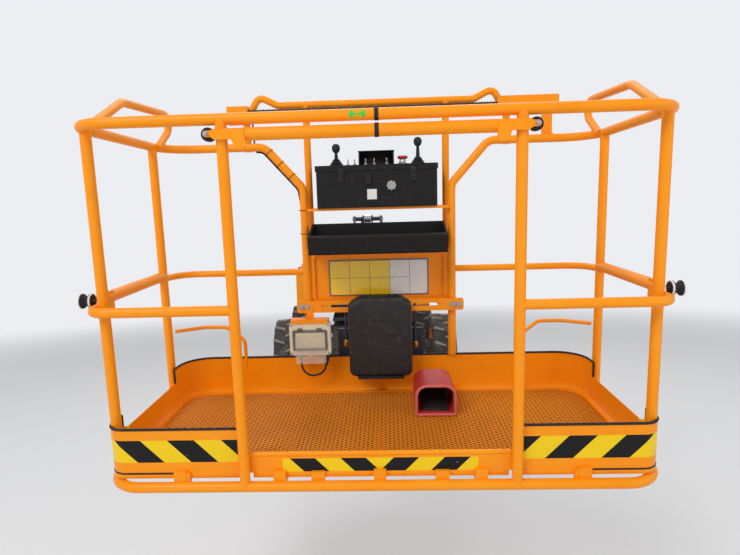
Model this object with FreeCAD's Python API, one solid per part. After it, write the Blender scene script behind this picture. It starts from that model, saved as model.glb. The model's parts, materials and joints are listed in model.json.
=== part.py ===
"""Articulating boom lift: wheeled chassis, slewing turntable, two booms, jib and work platform.

Millimetres, +Z up. -Y points to the platform, +Y to the counterweight, +X to the platform's right
as seen from its entry side. The model is laid out about the slewing axis (x = 0, y = 0, ground at
z = 0), and every piece is moved along Y at the end so that the origin is the middle of its box.
"""
import FreeCAD, Part
import math
import os

V = FreeCAD.Vector
X_AXIS, Y_AXIS, Z_AXIS = V(1, 0, 0), V(0, 1, 0), V(0, 0, 1)

# Running fits
PIN_GAP = 0.3
RUN_GAP = 5.0
RACE_GAP = 0.5

# Wheels and axles
TYRE_R = 420.0
TYRE_W = 300.0
TREAD_DEPTH = 28.0
LUGS_PER_SIDE = 13
LUG_LEAN = 42.0
RIM_R = 254.0
RIM_WALL = 10.0
HUB_R = 120.0
SPINDLE_R = 50.0
TRACK_HALF = 995.0
AXLE_Y = 1015.0
KINGPIN_X = 690.0
KINGPIN_R = 26.0
STEER_DEG = 30.0
STEER_ARM = 160.0
STEER_ROD_DROP = 75.0
AXLE_BEAM = 130.0
FORK_X = 600.0

# Chassis and slewing ring
FRAME_HALF_W = 420.0
FRAME_BOTTOM, FRAME_TOP = 360.0, 690.0
FRAME_END_Y = 1180.0
FRAME_END_BOTTOM, FRAME_END_TOP = 470.0, 640.0
FRAME_FLAT_Y, FRAME_BELLY_Y = 900.0, 700.0
FRAME_ARCH_Z = 500.0
FRAME_WALL = 16.0
SADDLE_X = 260.0
LASHING_R = 22.0
LASHING_T = 24.0
LASHING_Z = 555.0
LASHING_OUT = 46.0
RING_R = 370.0
RING_H = 70.0

# Turntable
DECK_T = 40.0
DECK_HALF_W = 420.0
DECK_FRONT_Y, DECK_REAR_Y = -760.0, 880.0
CHEEK_IN = 150.0
CHEEK_T = 25.0
TAIL_Y = 1250.0
WEIGHT_FRONT_Y = 1010.0
WEIGHT_HALF_W = 1040.0
WEIGHT_BOTTOM, WEIGHT_TOP = 900.0, 1480.0
HOOD_IN, HOOD_OUT = 440.0, 900.0
HOOD_BOTTOM, HOOD_TOP = 925.0, 1580.0
HOOD_FRONT_Y, HOOD_REAR_Y = -700.0, 990.0
HOOD_WALL = 8.0
HOOD_OPEN_DEG = 75.0
HINGE_INSET, HINGE_DROP = 18.0, 40.0
HINGE_PIN_R = 8.0
HINGE_YS = (-500.0, 800.0)
TRAY_BOTTOM, TRAY_TOP = 885.0, 905.0
LOUVRE_PITCH, LOUVRE_OUT = 42.0, 12.0
LOUVRE_BOTTOM = HOOD_BOTTOM + 70.0
ENGINE_IN, ENGINE_OUT = HOOD_IN + 40.0, HOOD_OUT - 90.0
ENGINE_FRONT_Y, ENGINE_REAR_Y = -380.0, 420.0
ENGINE_TOP = HOOD_TOP - 190.0

# Tower boom: pivot A0 on the turntable, pin A1 carrying the upright
TOWER_W, TOWER_H = 130.0, 220.0
TOWER_HUB_R = 42.0
A0 = V(0, -620, 1290)
TOWER_LEN = 1520.0
TOWER_MAX_DEG = 68.0
LINK_DROP = 220.0
LINK_IN, LINK_T, LINK_H = 74.0, 24.0, 60.0
TOWER_CYL_FOOT = V(0, -420, 930)
TOWER_CYL_EYE_OFF = V(0, 1120, -160)
PIVOT_PIN_R = 30.0

# Upright and main boom: pivot B0
UPRIGHT_IN, UPRIGHT_T = 112.0, 24.0
B0_OFF = V(0, 60, 720)
MAIN_W, MAIN_H = 200.0, 290.0
MAIN_TAIL, MAIN_NOSE = 130.0, 3960.0
MAIN_WALL = 10.0
MAIN_MAX_DEG = 75.0
LIFT_FOOT_OFF = V(0, -70, 270)
LIFT_EYE_ALONG, LIFT_EYE_DROP = 1320.0, 196.0
FLY_W, FLY_H = 160.0, 238.0
FLY_STROKE = 2600.0
FLY_REAR_ALONG = 800.0
NOSE_ALONG = MAIN_NOSE + 800.0
FLY_FRONT_ALONG = NOSE_ALONG - 200.0
NOSE_DROP_DEG = 3.7

# Jib
TILT_DEG = 6.8
JIB_LINK_RISE = 170.0
JIB_IN_OFF = V(0, -80, -110)
JIB_OUT_OFF = V(0, -1340, -485)
JIB_W, JIB_H = 110.0, 100.0
JIB_EAR_IN, JIB_EAR_T = 62.0, 18.0
JIB_MIN_DEG, JIB_MAX_DEG = -20.0, 70.0
JIB_CYL_FOOT_OFF = V(0, -105, -315)
JIB_CYL_EYE_OFF = V(0, -740, -462)

# Rod travel out of its barrel from the place at rest
TOWER_STROKE, LIFT_STROKE = 470.0, 540.0
LEVEL_STROKE, JIB_STROKE = 245.0, 250.0
JIB_RETRACT = 75.0

# Platform: own frame with X right, Y back from the front rail, Z up from the bottom rail
YAW_DEG = -4.0
TUBE_R = 17.0
PLAT_HALF_W = 898.0
PLAT_DEPTH = 720.0
PLAT_H = 1150.0
PLAT_FRONT_FROM_NOSE = 2610.0
PLAT_RAIL_FROM_NOSE = -525.0
ROTATOR_Y = 1000.0
ROTATOR_R = 78.0
CORNER_FRONT_R, CORNER_REAR_R = 115.0, 140.0
INNER_POST_X = 435.0
FRONT_POST = (PLAT_HALF_W - 28.0, 57.0)
REAR_POST_Y = 590.0
MID_RAIL_Z = 582.0
SIDE_RAIL_Z = 607.0
REAR_RAIL_Z = 594.0
REAR_TOP_Z = PLAT_H - 20.0
TOE_T = 3.0
TOE_BOTTOM, TOE_TOP = 38.5, 190.0
SILL_TOP = 100.0
SIDE_TOE_TOP, REAR_TOE_TOP = 150.0, 210.0
FLOOR_TOP = 55.0
FLOOR_T = 6.0
BENT_TUBE_X = 315.0
BENT_TUBE_TOP_X = 470.0
BAR_Z = PLAT_H - 45.0
BAR_TRAVEL = BAR_Z - MID_RAIL_Z - 40.0
BAR_TUBE_R = 19.0
BAR_ROLLER_R = 20.0
CONSOLE_Y = PLAT_DEPTH + 80.0
SHELF_Z = 856.0
CONSOLE_Z = SHELF_Z + 10.0
CONSOLE_TOP = CONSOLE_Z + 177.0
ARCH_OVER_RAIL, ARCH_OVER_CONSOLE = 180.0, 205.0
ARCH_Z = max(REAR_TOP_Z + ARCH_OVER_RAIL, CONSOLE_TOP + ARCH_OVER_CONSOLE)
ARCH_END_X = 560.0
ARCH_HUMP = 40.0
FOOT_X, FOOT_HALF_W = 215.0, 80.0
FOOT_FRONT_Y, FOOT_REAR_Y = 410.0, 600.0
FOOT_H = 126.0


def box(x0, x1, y0, y1, z0, z1):
    """Box between two corners."""
    low = V(min(x0, x1), min(y0, y1), min(z0, z1))
    return Part.makeBox(abs(x1 - x0), abs(y1 - y0), abs(z1 - z0), low)


def rod(start, end, radius):
    """Solid round bar between two points."""
    start, end = V(*start), V(*end)
    return Part.makeCylinder(radius, (end - start).Length, start, end - start)


def tube(start, end, radius, bore):
    """Round tube between two points."""
    return rod(start, end, radius).cut(rod(start, end, bore))


def cross_pin(point, radius, half_x):
    """Round pin or boss along X through a point."""
    return rod((-half_x, point.y, point.z), (half_x, point.y, point.z), radius)


def rounded_wire(points, radii, closed=True):
    """Wire through points, with a tangent arc of the given radius at each corner."""
    points = [V(*p) for p in points]
    count = len(points)
    if not isinstance(radii, (list, tuple)):
        radii = [radii] * count
    starts, ends = [], []
    for i, corner in enumerate(points):
        is_end = not closed and i in (0, count - 1)
        radius = 0 if is_end else radii[i]
        if radius <= 0:
            starts.append(corner)
            ends.append(corner)
            continue
        to_last = (points[i - 1] - corner).normalize()
        to_next = (points[(i + 1) % count] - corner).normalize()
        half = to_last.getAngle(to_next) / 2
        back = radius / math.tan(half)
        starts.append(corner + to_last * back)
        ends.append(corner + to_next * back)
    edges = []
    for i, corner in enumerate(points):
        if (starts[i] - ends[i]).Length > 1e-6:
            to_last = (points[i - 1] - corner).normalize()
            to_next = (points[(i + 1) % count] - corner).normalize()
            half = to_last.getAngle(to_next) / 2
            reach = radii[i] / math.sin(half)
            inward = (to_last + to_next).normalize()
            middle = corner + inward * (reach - radii[i])
            edges.append(Part.Arc(starts[i], middle, ends[i]).toShape())
        follows = closed or i < count - 1
        after = starts[(i + 1) % count]
        if follows and (after - ends[i]).Length > 1e-6:
            edges.append(Part.LineSegment(ends[i], after).toShape())
    return Part.Wire(edges)


def plate_x(outline, x0, x1, radii=0):
    """Plate with an outline of (y, z) corners, from x0 to x1."""
    wire = rounded_wire([(x0, y, z) for y, z in outline], radii)
    return Part.Face(wire).extrude(V(x1 - x0, 0, 0))


def plate_y(outline, y0, y1, radii=0):
    """Plate with an outline of (x, z) corners, from y0 to y1."""
    wire = rounded_wire([(x, y0, z) for x, z in outline], radii)
    return Part.Face(wire).extrude(V(0, y1 - y0, 0))


def plate_z(outline, z0, z1, radii=0):
    """Plate with an outline of (x, y) corners, from z0 to z1."""
    wire = rounded_wire([(x, y, z0) for x, y in outline], radii)
    return Part.Face(wire).extrude(V(0, 0, z1 - z0))


def pipe(points, radius, bends):
    """Round bar bent along points: straight runs joined by turned arcs at the corners."""
    points = [V(*p) for p in points]
    runs = []
    start = points[0]
    for i in range(1, len(points) - 1):
        into = (points[i] - points[i - 1]).normalize()
        out = (points[i + 1] - points[i]).normalize()
        turn = into.getAngle(out)
        back = bends[i] * math.tan(turn / 2)
        bend_start = points[i] - into * back
        runs.append(rod(start, bend_start, radius))
        normal = into.cross(out).normalize()
        centre = bend_start + normal.cross(into) * bends[i]
        section = Part.Face(Part.Wire(Part.makeCircle(radius, bend_start, into)))
        runs.append(section.revolve(centre, normal, math.degrees(turn)))
        start = points[i] + out * back
    runs.append(rod(start, points[-1], radius))
    return fuse(runs)


def fuse(shapes):
    """One body out of shapes that meet."""
    shapes = list(shapes)
    whole = shapes[0]
    if len(shapes) > 1:
        whole = whole.multiFuse(shapes[1:])
    return whole.removeSplitter()


def group(shapes):
    """Compound of solids that stay apart."""
    solids = []
    for shape in shapes:
        solids.extend(shape.Solids)
    return Part.makeCompound(solids)


def mirrored(shape):
    """Copy on the other side of the middle plane x = 0."""
    return shape.mirror(V(0, 0, 0), X_AXIS)


def both_sides(shape):
    """A shape and its mirror image, apart."""
    return group([shape, mirrored(shape)])


def turned(shape, degrees, about, axis=X_AXIS):
    """Copy turned about an axis through a point."""
    copy = shape.copy()
    copy.rotate(about, axis, degrees)
    return copy


def turned_point(point, degrees, about, axis=X_AXIS):
    """Point turned about an axis through another point."""
    return about + FreeCAD.Rotation(axis, degrees).multVec(point - about)


def revolve_x(outline, x_sign=1):
    """Solid turned about the X axis from an outline of (x, radius) corners."""
    wire = rounded_wire([(x_sign * x, 0, r) for x, r in outline], 0)
    return Part.Face(wire).revolve(V(0, 0, 0), X_AXIS, 360)


A1 = A0 + V(0, TOWER_LEN, 0)
LINK0 = A0 - V(0, 0, LINK_DROP)
LINK1 = A1 - V(0, 0, LINK_DROP)
TOWER_CYL_EYE = A0 + TOWER_CYL_EYE_OFF
B0 = A1 + B0_OFF
LIFT_FOOT = A1 + LIFT_FOOT_OFF


def along_main(along, drop=0.0):
    """Point on the main boom, measured forward from its pivot and down from its centre line."""
    return turned_point(B0 + V(0, -along, -drop), NOSE_DROP_DEG, B0)


LIFT_EYE = along_main(LIFT_EYE_ALONG, LIFT_EYE_DROP)
N0 = along_main(NOSE_ALONG)
JIB_IN = N0 + JIB_IN_OFF
JIB_OUT = N0 + JIB_OUT_OFF
JIB_IN_UP = JIB_IN + V(0, 0, JIB_LINK_RISE)
JIB_OUT_UP = JIB_OUT + V(0, 0, JIB_LINK_RISE)
JIB_CYL_FOOT = N0 + JIB_CYL_FOOT_OFF
JIB_CYL_EYE = N0 + JIB_CYL_EYE_OFF
PLAT_ORIGIN = N0 + V(0, -PLAT_FRONT_FROM_NOSE, PLAT_RAIL_FROM_NOSE)
ROTATOR_AXIS = PLAT_ORIGIN + V(0, ROTATOR_Y, 0)
LEVEL_FLY_PIN = N0 + V(0, 520, 235)
LEVEL_EAR_PIN = N0 + V(0, 60, 200)


def tilted(shape):
    """Jib group from its level layout to its place at rest."""
    return turned(shape, TILT_DEG, N0)


def tilted_point(point):
    """Point of the jib group from its level layout to its place at rest."""
    return turned_point(point, TILT_DEG, N0)


def on_platform(shape):
    """Shape from the platform's own frame to its place at rest."""
    copy = shape.copy()
    copy.translate(PLAT_ORIGIN)
    copy.rotate(ROTATOR_AXIS, Z_AXIS, YAW_DEG)
    return tilted(copy)


def platform_point(point):
    """Point from the platform's own frame to its place at rest."""
    moved = turned_point(PLAT_ORIGIN + V(*point), YAW_DEG, ROTATOR_AXIS, Z_AXIS)
    return tilted_point(moved)


def ring_of_facets(outline, sides):
    """Ring about the X axis with flat facets; the outline (x, r) gives the radius of its corners."""
    def corner(turn, index):
        x, r = outline[index % len(outline)]
        angle = 2 * math.pi * (turn + 0.5) / sides
        return V(x, r * math.sin(angle), r * math.cos(angle))
    faces = []
    for turn in range(sides):
        for index in range(len(outline)):
            quad = [corner(turn, index), corner(turn, index + 1), corner(turn + 1, index + 1),
                    corner(turn + 1, index)]
            faces.append(Part.Face(Part.makePolygon(quad + [quad[0]])))
    return Part.Solid(Part.Shell(faces))


def tread_lug():
    """Slanted lug of the +X shoulder at the tyre's top, from the middle to the side wall."""
    half, root = TYRE_W / 2, TYRE_R - TREAD_DEPTH - 40
    top = math.sqrt(TYRE_R ** 2 - LUG_LEAN ** 2)
    out = half - 2
    outline = [(4, -LUG_LEAN), (4, 30 - LUG_LEAN), (half - 54, LUG_LEAN - 16), (out, LUG_LEAN),
               (out, LUG_LEAN - 36), (half - 48, LUG_LEAN - 50)]
    corners = [V(x, y, root) for x, y in outline]
    lug = Part.Face(Part.makePolygon(corners + [corners[0]])).extrude(V(0, 0, top - root))
    shoulder = plate_y([(out - 28, top), (out + 9, top), (out + 9, root), (out, root)],
                       -2 * LUG_LEAN, 2 * LUG_LEAN)
    return lug.cut(shoulder)


def tyre():
    """Tyre about the X axis, outer side towards +X: faceted carcass with two rows of lugs."""
    half = TYRE_W / 2
    base = TYRE_R - TREAD_DEPTH
    sides = 2 * LUGS_PER_SIDE
    bore = (RIM_R + PIN_GAP) / math.cos(math.pi / sides)
    outline = [
        (34 - half, bore), (3 - half, RIM_R + 30), (-half, RIM_R + 80), (10 - half, base - 26),
        (38 - half, base), (half - 38, base), (half - 10, base - 26), (half, RIM_R + 80),
        (half - 3, RIM_R + 30), (half - 34, bore),
    ]
    lug = tread_lug()
    other = lug.mirror(V(0, 0, 0), X_AXIS)
    lowest = 180 - math.degrees(math.asin(LUG_LEAN / TYRE_R))
    pitch = 360.0 / LUGS_PER_SIDE
    lugs = []
    for index in range(LUGS_PER_SIDE):
        lugs.append(turned(lug, lowest + pitch * index, V(0, 0, 0)))
        lugs.append(turned(other, lowest + pitch * (index + 0.5), V(0, 0, 0)))
    return ring_of_facets(outline, sides).multiFuse(lugs).removeSplitter()


def rim():
    """Wheel rim with its dished disc and hub, about the X axis, outer side towards +X."""
    half = TYRE_W / 2 - 30
    barrel = revolve_x([(-half, RIM_R - RIM_WALL), (-half, RIM_R), (half, RIM_R),
                        (half, RIM_R - RIM_WALL)])
    disc = revolve_x([(-70, SPINDLE_R + PIN_GAP), (-70, HUB_R + 20), (-30, RIM_R - 60),
                      (0, RIM_R - RIM_WALL - 1), (0, RIM_R - RIM_WALL + 1),
                      (16, RIM_R - RIM_WALL + 1), (16, RIM_R - RIM_WALL - 3),
                      (-14, RIM_R - 66), (-54, HUB_R + 14), (-54, HUB_R - 10),
                      (40, HUB_R - 14), (60, HUB_R - 40), (60, 0), (48, 0),
                      (48, SPINDLE_R + PIN_GAP)])
    return fuse([barrel, disc])


# Wheels: name, sign of x, axle y
WHEELS = [
    ("front_left", -1, -AXLE_Y), ("front_right", 1, -AXLE_Y),
    ("rear_left", -1, AXLE_Y), ("rear_right", 1, AXLE_Y),
]
STEERED = ("rear_left", "rear_right")


def at_wheel(shape, side, y):
    """Wheel piece, made about X with its outer side towards +X, moved to a wheel's place."""
    if side < 0:
        shape = mirrored(shape)
    moved = shape.copy()
    moved.translate(V(side * TRACK_HALF, y, TYRE_R))
    return moved


def knuckle():
    """Steering knuckle of the +X side about its wheel centre: kingpin barrel, arm and spindle."""
    kingpin = KINGPIN_X - TRACK_HALF
    barrel = Part.makeCylinder(48, 170, V(kingpin, 0, -85), Z_AXIS)
    neck = box(kingpin + 20, -95, -55, 55, -60, 60)
    flange = rod((-115, 0, 0), (-76, 0, 0), 95)
    spindle = rod((-100, 0, 0), (40, 0, 0), SPINDLE_R)
    end = STEER_ARM + 26
    arm = plate_z([(kingpin - 24, 20), (kingpin + 32, 20), (kingpin + 26, end), (kingpin - 26, end)],
                  -45, -15, [0, 0, 25, 25])
    body = fuse([barrel, neck, flange, spindle, arm])
    bore = Part.makeCylinder(KINGPIN_R + PIN_GAP, 200, V(kingpin, 0, -100), Z_AXIS)
    return body.cut(bore)


def differential(y):
    """Round differential housing in the middle of an axle."""
    profile = [(-170, 0), (-170, 72), (-70, 105), (70, 105), (170, 72), (170, 0)]
    housing = revolve_x(profile)
    housing.translate(V(0, y, TYRE_R))
    return housing


def axle_fixed():
    """Driven axle under the platform end: beam, differential housing and spindles."""
    y, z = -AXLE_Y, TYRE_R
    half = AXLE_BEAM / 2
    beam_end = TRACK_HALF - 195
    beam = box(-beam_end, beam_end, y - half, y + half, z - half, z + half)
    housing = differential(y)
    nose = rod((0, y + 60, z), (0, y + 200, z), 58)
    ends = []
    for side in (-1, 1):
        ends.append(rod((side * (beam_end - 20), y, z), (side * (TRACK_HALF - 76), y, z), 95))
        ends.append(rod((side * beam_end, y, z), (side * (TRACK_HALF + 40), y, z), SPINDLE_R))
    return fuse([beam, housing, nose] + ends)


def axle_steer():
    """Steered axle under the counterweight end: beam, forks with kingpins and steering ram."""
    y, z = AXLE_Y, TYRE_R
    half = AXLE_BEAM / 2
    beam = box(-FORK_X, FORK_X, y - half, y + half, z - half, z + half)
    housing = differential(y)
    forks = []
    for side in (-1, 1):
        web = box(side * (FORK_X - 40), side * (FORK_X + 20), y - half + 8, y + half - 8, z - 130, z + 130)
        forks.append(web)
        for low in (-130, 90):
            arm = plate_z([(side * FORK_X, y - half), (side * KINGPIN_X, y - half * 0.8),
                           (side * (KINGPIN_X + 40), y), (side * KINGPIN_X, y + half * 0.8),
                           (side * FORK_X, y + half)], z + low, z + low + 40)
            forks.append(arm)
        forks.append(Part.makeCylinder(KINGPIN_R, 280, V(side * KINGPIN_X, y, z - 140), Z_AXIS))
    ram_y, ram_z = y + STEER_ARM, z - STEER_ROD_DROP
    ram = tube((-230, ram_y, ram_z), (230, ram_y, ram_z), 40, 18 + PIN_GAP)
    clamps = []
    for x in (-150, 150):
        clamp = box(x - 20, x + 20, y + half - 5, ram_y, ram_z - 20, ram_z + 46)
        clamps.append(clamp.cut(rod((x - 30, ram_y, ram_z), (x + 30, ram_y, ram_z), 30)))
    return fuse([beam, housing] + forks + [ram] + clamps)


def steer_rod():
    """Rod of the steering ram, with an eye under each knuckle's arm."""
    y, z = AXLE_Y + STEER_ARM, TYRE_R - STEER_ROD_DROP
    bar = rod((-KINGPIN_X, y, z), (KINGPIN_X, y, z), 18)
    eyes = [Part.makeCylinder(30, 43, V(side * KINGPIN_X, y, z - 18), Z_AXIS) for side in (-1, 1)]
    return fuse([bar] + eyes)


def chassis_frame():
    """Box frame with axle saddles, end plates, lashing lugs and the lower slewing race."""
    half_side = [(FRAME_FLAT_Y, FRAME_TOP), (FRAME_END_Y, FRAME_END_TOP),
                 (FRAME_END_Y, FRAME_END_BOTTOM), (AXLE_Y + 80, FRAME_ARCH_Z),
                 (AXLE_Y - 90, FRAME_ARCH_Z), (FRAME_BELLY_Y, FRAME_BOTTOM)]
    side_outline = half_side + [(-y, z) for y, z in reversed(half_side)]
    block = plate_x(side_outline, -FRAME_HALF_W, FRAME_HALF_W)
    inner = FRAME_HALF_W - FRAME_WALL
    ends = []
    for side in (-1, 1):
        room = box(-inner, inner, side * (FRAME_BELLY_Y + 70), side * (FRAME_END_Y - FRAME_WALL),
                   FRAME_BOTTOM - 10, FRAME_END_TOP - 20)
        ends.append(room)
    block = block.cut(group(ends))
    saddles = []
    for y in (-AXLE_Y, AXLE_Y):
        for x in (-SADDLE_X, SADDLE_X):
            saddles.append(box(x - 45, x + 45, y - 60, y + 60, TYRE_R + AXLE_BEAM / 2,
                               FRAME_END_TOP - 15))
    race = Part.makeCylinder(RING_R, RING_H * 0.45, V(0, 0, FRAME_TOP), Z_AXIS)
    lugs = []
    for x, y in lashing_points():
        side = 1 if x > 0 else -1
        half_t = LASHING_T / 2
        outline = [(side * (FRAME_HALF_W - 14), LASHING_Z - LASHING_OUT), (x, LASHING_Z - LASHING_OUT),
                   (x + side * LASHING_OUT, LASHING_Z), (x, LASHING_Z + LASHING_OUT),
                   (side * (FRAME_HALF_W - 14), LASHING_Z + LASHING_OUT)]
        lug = plate_y(outline, y - half_t, y + half_t, [0, 24, 30, 24, 0])
        lug = lug.cut(rod((x, y - LASHING_T, LASHING_Z), (x, y + LASHING_T, LASHING_Z), LASHING_R))
        lugs.append(lug)
    return fuse([block] + saddles + [race] + lugs)


def lashing_points():
    """Centres of the four lashing eyes in x and y."""
    x, y = FRAME_HALF_W + LASHING_OUT, FRAME_END_Y - LASHING_T / 2
    return [(-x, -y), (x, -y), (-x, y), (x, y)]


def turntable_deck():
    """Deck on the upper race, with the two cheek plates that carry the tower boom."""
    z0 = FRAME_TOP + RING_H
    race = Part.makeCylinder(RING_R - 20, RING_H * 0.55 - RACE_GAP,
                             V(0, 0, FRAME_TOP + RING_H * 0.45 + RACE_GAP), Z_AXIS)
    deck = plate_z([(-DECK_HALF_W, DECK_FRONT_Y), (DECK_HALF_W, DECK_FRONT_Y),
                    (DECK_HALF_W, DECK_REAR_Y), (-DECK_HALF_W, DECK_REAR_Y)],
                   z0, z0 + DECK_T, 60)
    top = z0 + DECK_T
    outline = [(A0.y - 90, top - 1), (A0.y - 90, A0.z - 20), (A0.y - 50, A0.z + 70),
               (A0.y + 60, A0.z + 70), (A0.y + 330, 1130), (820, 1130), (WEIGHT_FRONT_Y, 1300),
               (WEIGHT_FRONT_Y, 940), (860, 900), (820, top - 1)]
    radii = [0, 40, 50, 60, 90, 60, 0, 0, 20, 0]
    cheeks = []
    for side in (-1, 1):
        cheeks.append(plate_x(outline, side * CHEEK_IN, side * (CHEEK_IN + CHEEK_T), radii))
        cheeks.append(cross_boss(A0, side, CHEEK_IN, CHEEK_IN + CHEEK_T + 15, 62))
    pins = [cross_pin(A0, PIVOT_PIN_R, CHEEK_IN + CHEEK_T + 22),
            cross_pin(LINK0, PIVOT_PIN_R * 0.7, CHEEK_IN + CHEEK_T + 12)]
    ears = clevis(TOWER_CYL_FOOT, 46, 20, [(-70, -TOWER_CYL_FOOT.z + top - 1), (70, -TOWER_CYL_FOOT.z + top - 1),
                                           (45, 45), (-45, 45)])
    ears.append(cross_pin(TOWER_CYL_FOOT, 22, 70))
    outriggers = []
    for side in (-1, 1):
        for y in (-450, 500):
            outriggers.append(box(side * (CHEEK_IN + 5), side * (HOOD_IN - 60), y - 40, y + 40, top - 1,
                                  TRAY_BOTTOM + 5))
        outriggers.append(box(side * (CHEEK_IN + 5), side * (HOOD_OUT - 15), HOOD_FRONT_Y + 15,
                              HOOD_REAR_Y - 15, TRAY_BOTTOM, TRAY_TOP))
        outriggers += hood_posts(side)
    return fuse([race, deck] + cheeks + pins + ears + outriggers)


def cross_boss(point, side, inner, outer, radius):
    """Boss on a side plate, round a pin along X."""
    return rod((side * inner, point.y, point.z), (side * outer, point.y, point.z), radius)


def clevis(point, inner, thick, outline):
    """Two ears with an outline of (y, z) offsets about a pin along X."""
    ears = []
    for side in (-1, 1):
        corners = [(point.y + dy, point.z + dz) for dy, dz in outline]
        ears.append(plate_x(corners, side * inner, side * (inner + thick)))
    return ears


def pin_heads(point, inner, thick, radius):
    """Heads of a pin on the outer faces of two ears."""
    return [cross_boss(point, side, inner + 2, inner + thick + 8, radius) for side in (-1, 1)]


def counterweight():
    """Cast tail weight across the turntable, curved in plan, notched for the upright."""
    h = WEIGHT_HALF_W
    plan = [(-h, WEIGHT_FRONT_Y), (h, WEIGHT_FRONT_Y), (h, TAIL_Y - 150), (h * 0.62, TAIL_Y),
            (-h * 0.62, TAIL_Y), (-h, TAIL_Y - 150)]
    body = plate_z(plan, WEIGHT_BOTTOM, WEIGHT_TOP, [25, 25, 90, 260, 260, 90])
    notch_half = CHEEK_IN - 5
    notch = box(-notch_half, notch_half, WEIGHT_FRONT_Y - 10, TAIL_Y - 60, WEIGHT_BOTTOM - 10,
                WEIGHT_TOP + 10)
    return body.cut(notch)


def engine_block():
    """Engine under the right hood: skid, block with its covers, filter, silencer and radiator."""
    mid = (ENGINE_IN + ENGINE_OUT) / 2
    floor, top = TRAY_TOP, ENGINE_TOP
    front, rear = ENGINE_FRONT_Y, ENGINE_REAR_Y
    radiator = rear - 70
    pulley = radiator - 90
    parts = []
    for x in (ENGINE_IN + 25, ENGINE_OUT - 25):
        parts.append(box(x - 25, x + 25, front, rear, floor, floor + 45))
    for y in (front + 130, pulley - 120):
        parts.append(box(ENGINE_IN, ENGINE_OUT, y - 25, y + 25, floor + 25, floor + 60))
    block = plate_y([(mid - 75, floor + 30), (mid + 75, floor + 30), (mid + 115, floor + 120),
                     (mid + 115, floor + 290), (mid - 115, floor + 290), (mid - 115, floor + 120)],
                    front + 60, pulley - 60, [15, 15, 20, 8, 8, 20])
    cover = plate_y([(mid - 70, floor + 288), (mid + 70, floor + 288), (mid + 70, floor + 362),
                     (mid - 70, floor + 362)], front + 85, pulley - 85, [0, 0, 26, 26])
    parts += [block, cover]
    for z, radius in ((floor + 105, 62), (floor + 235, 46)):
        parts.append(rod((mid, pulley - 70, z), (mid, pulley - 12, z), radius))
    parts.append(rod((mid, pulley - 70, floor + 235), (mid, radiator + 5, floor + 235), 22))
    parts.append(rod((mid, radiator - 55, floor + 235), (mid, radiator + 5, floor + 235), 145))
    parts.append(box(ENGINE_IN + 8, ENGINE_OUT - 8, radiator, rear, floor + 40, top))
    for step in range(4):
        y = front + 115 + 85 * step
        parts.append(rod((mid + 100, y, floor + 250), (mid + 140, y, floor + 250), 20))
    parts.append(rod((mid + 132, front + 70, floor + 250), (mid + 132, pulley - 70, floor + 250), 30))
    parts.append(rod((mid + 60, front + 20, floor + 410), (mid + 60, pulley - 120, floor + 410), 58))
    parts.append(rod((mid + 60, front + 110, floor + 340), (mid + 60, front + 110, floor + 400), 24))
    parts.append(rod((mid - 80, front + 10, floor + 395), (mid - 80, front + 250, floor + 395), 68))
    parts.append(rod((mid - 80, front, floor + 395), (mid - 80, front + 30, floor + 395), 74))
    parts.append(box(mid - 100, mid - 60, front + 150, front + 190, floor + 280, floor + 340))
    parts.append(rod((mid - 150, front + 200, floor + 140), (mid - 100, front + 200, floor + 140), 40))
    return fuse(parts)


def hood_section(inset):
    """Outline (x, z) of a hood across the machine; an inset gives the room inside it."""
    spare = 10 if inset else 0
    return [(HOOD_IN - spare, HOOD_BOTTOM - spare), (HOOD_OUT - inset, HOOD_BOTTOM - spare),
            (HOOD_OUT - inset, HOOD_TOP - 190 - inset * 0.4),
            (HOOD_OUT - 110 - inset, HOOD_TOP - inset), (HOOD_IN - spare, HOOD_TOP - 30 - inset)]


def hood():
    """Hood of the +X side: moulded shell, open below and towards the boom, hinged at the top."""
    outer = plate_y(hood_section(0), HOOD_FRONT_Y, HOOD_REAR_Y, [0, 0, 90, 70, 0])
    room = plate_y(hood_section(HOOD_WALL), HOOD_FRONT_Y + HOOD_WALL, HOOD_REAR_Y - HOOD_WALL,
                   [0, 0, 85, 65, 0])
    shell = outer.cut(room)
    hinge = hood_hinge()
    lugs = []
    for y in HINGE_YS:
        lugs.append(rod((hinge.x, y - 15, hinge.z), (hinge.x, y + 15, hinge.z), 14))
        lugs.append(box(hinge.x, HOOD_IN + 30, y - 15, y + 15, hinge.z - 14, hinge.z + 6))
    pins = [rod((hinge.x, y - 30, hinge.z), (hinge.x, y + 30, hinge.z), HINGE_PIN_R + PIN_GAP)
            for y in HINGE_YS]
    return fuse([shell] + lugs + hood_louvres() + hood_latches()).cut(group(pins))


def hood_louvres():
    """Two columns of pressed louvres on the outer side of the +X hood."""
    louvres = []
    for y in (60, 370):
        for step in range(7):
            z = LOUVRE_BOTTOM + LOUVRE_PITCH * step
            section = [(HOOD_OUT - 1, z), (HOOD_OUT + LOUVRE_OUT, z), (HOOD_OUT + LOUVRE_OUT, z + 4),
                       (HOOD_OUT - 1, z + LOUVRE_PITCH - 12)]
            louvres.append(plate_y(section, y, y + 270))
    return louvres


def hood_latches():
    """Two paddle latches low on the outer side of the +X hood."""
    parts = []
    for y in (HOOD_FRONT_Y + 230, HOOD_REAR_Y - 180):
        z = HOOD_BOTTOM + 60
        parts.append(plate_x([(y - 62, z - 38), (y + 62, z - 38), (y + 62, z + 38), (y - 62, z + 38)],
                             HOOD_OUT - 1, HOOD_OUT + 5, 10))
        parts.append(plate_x([(y - 46, z - 22), (y + 30, z - 22), (y + 30, z + 22), (y - 46, z + 22)],
                             HOOD_OUT + 4, HOOD_OUT + 11, 8))
    return parts


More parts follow.
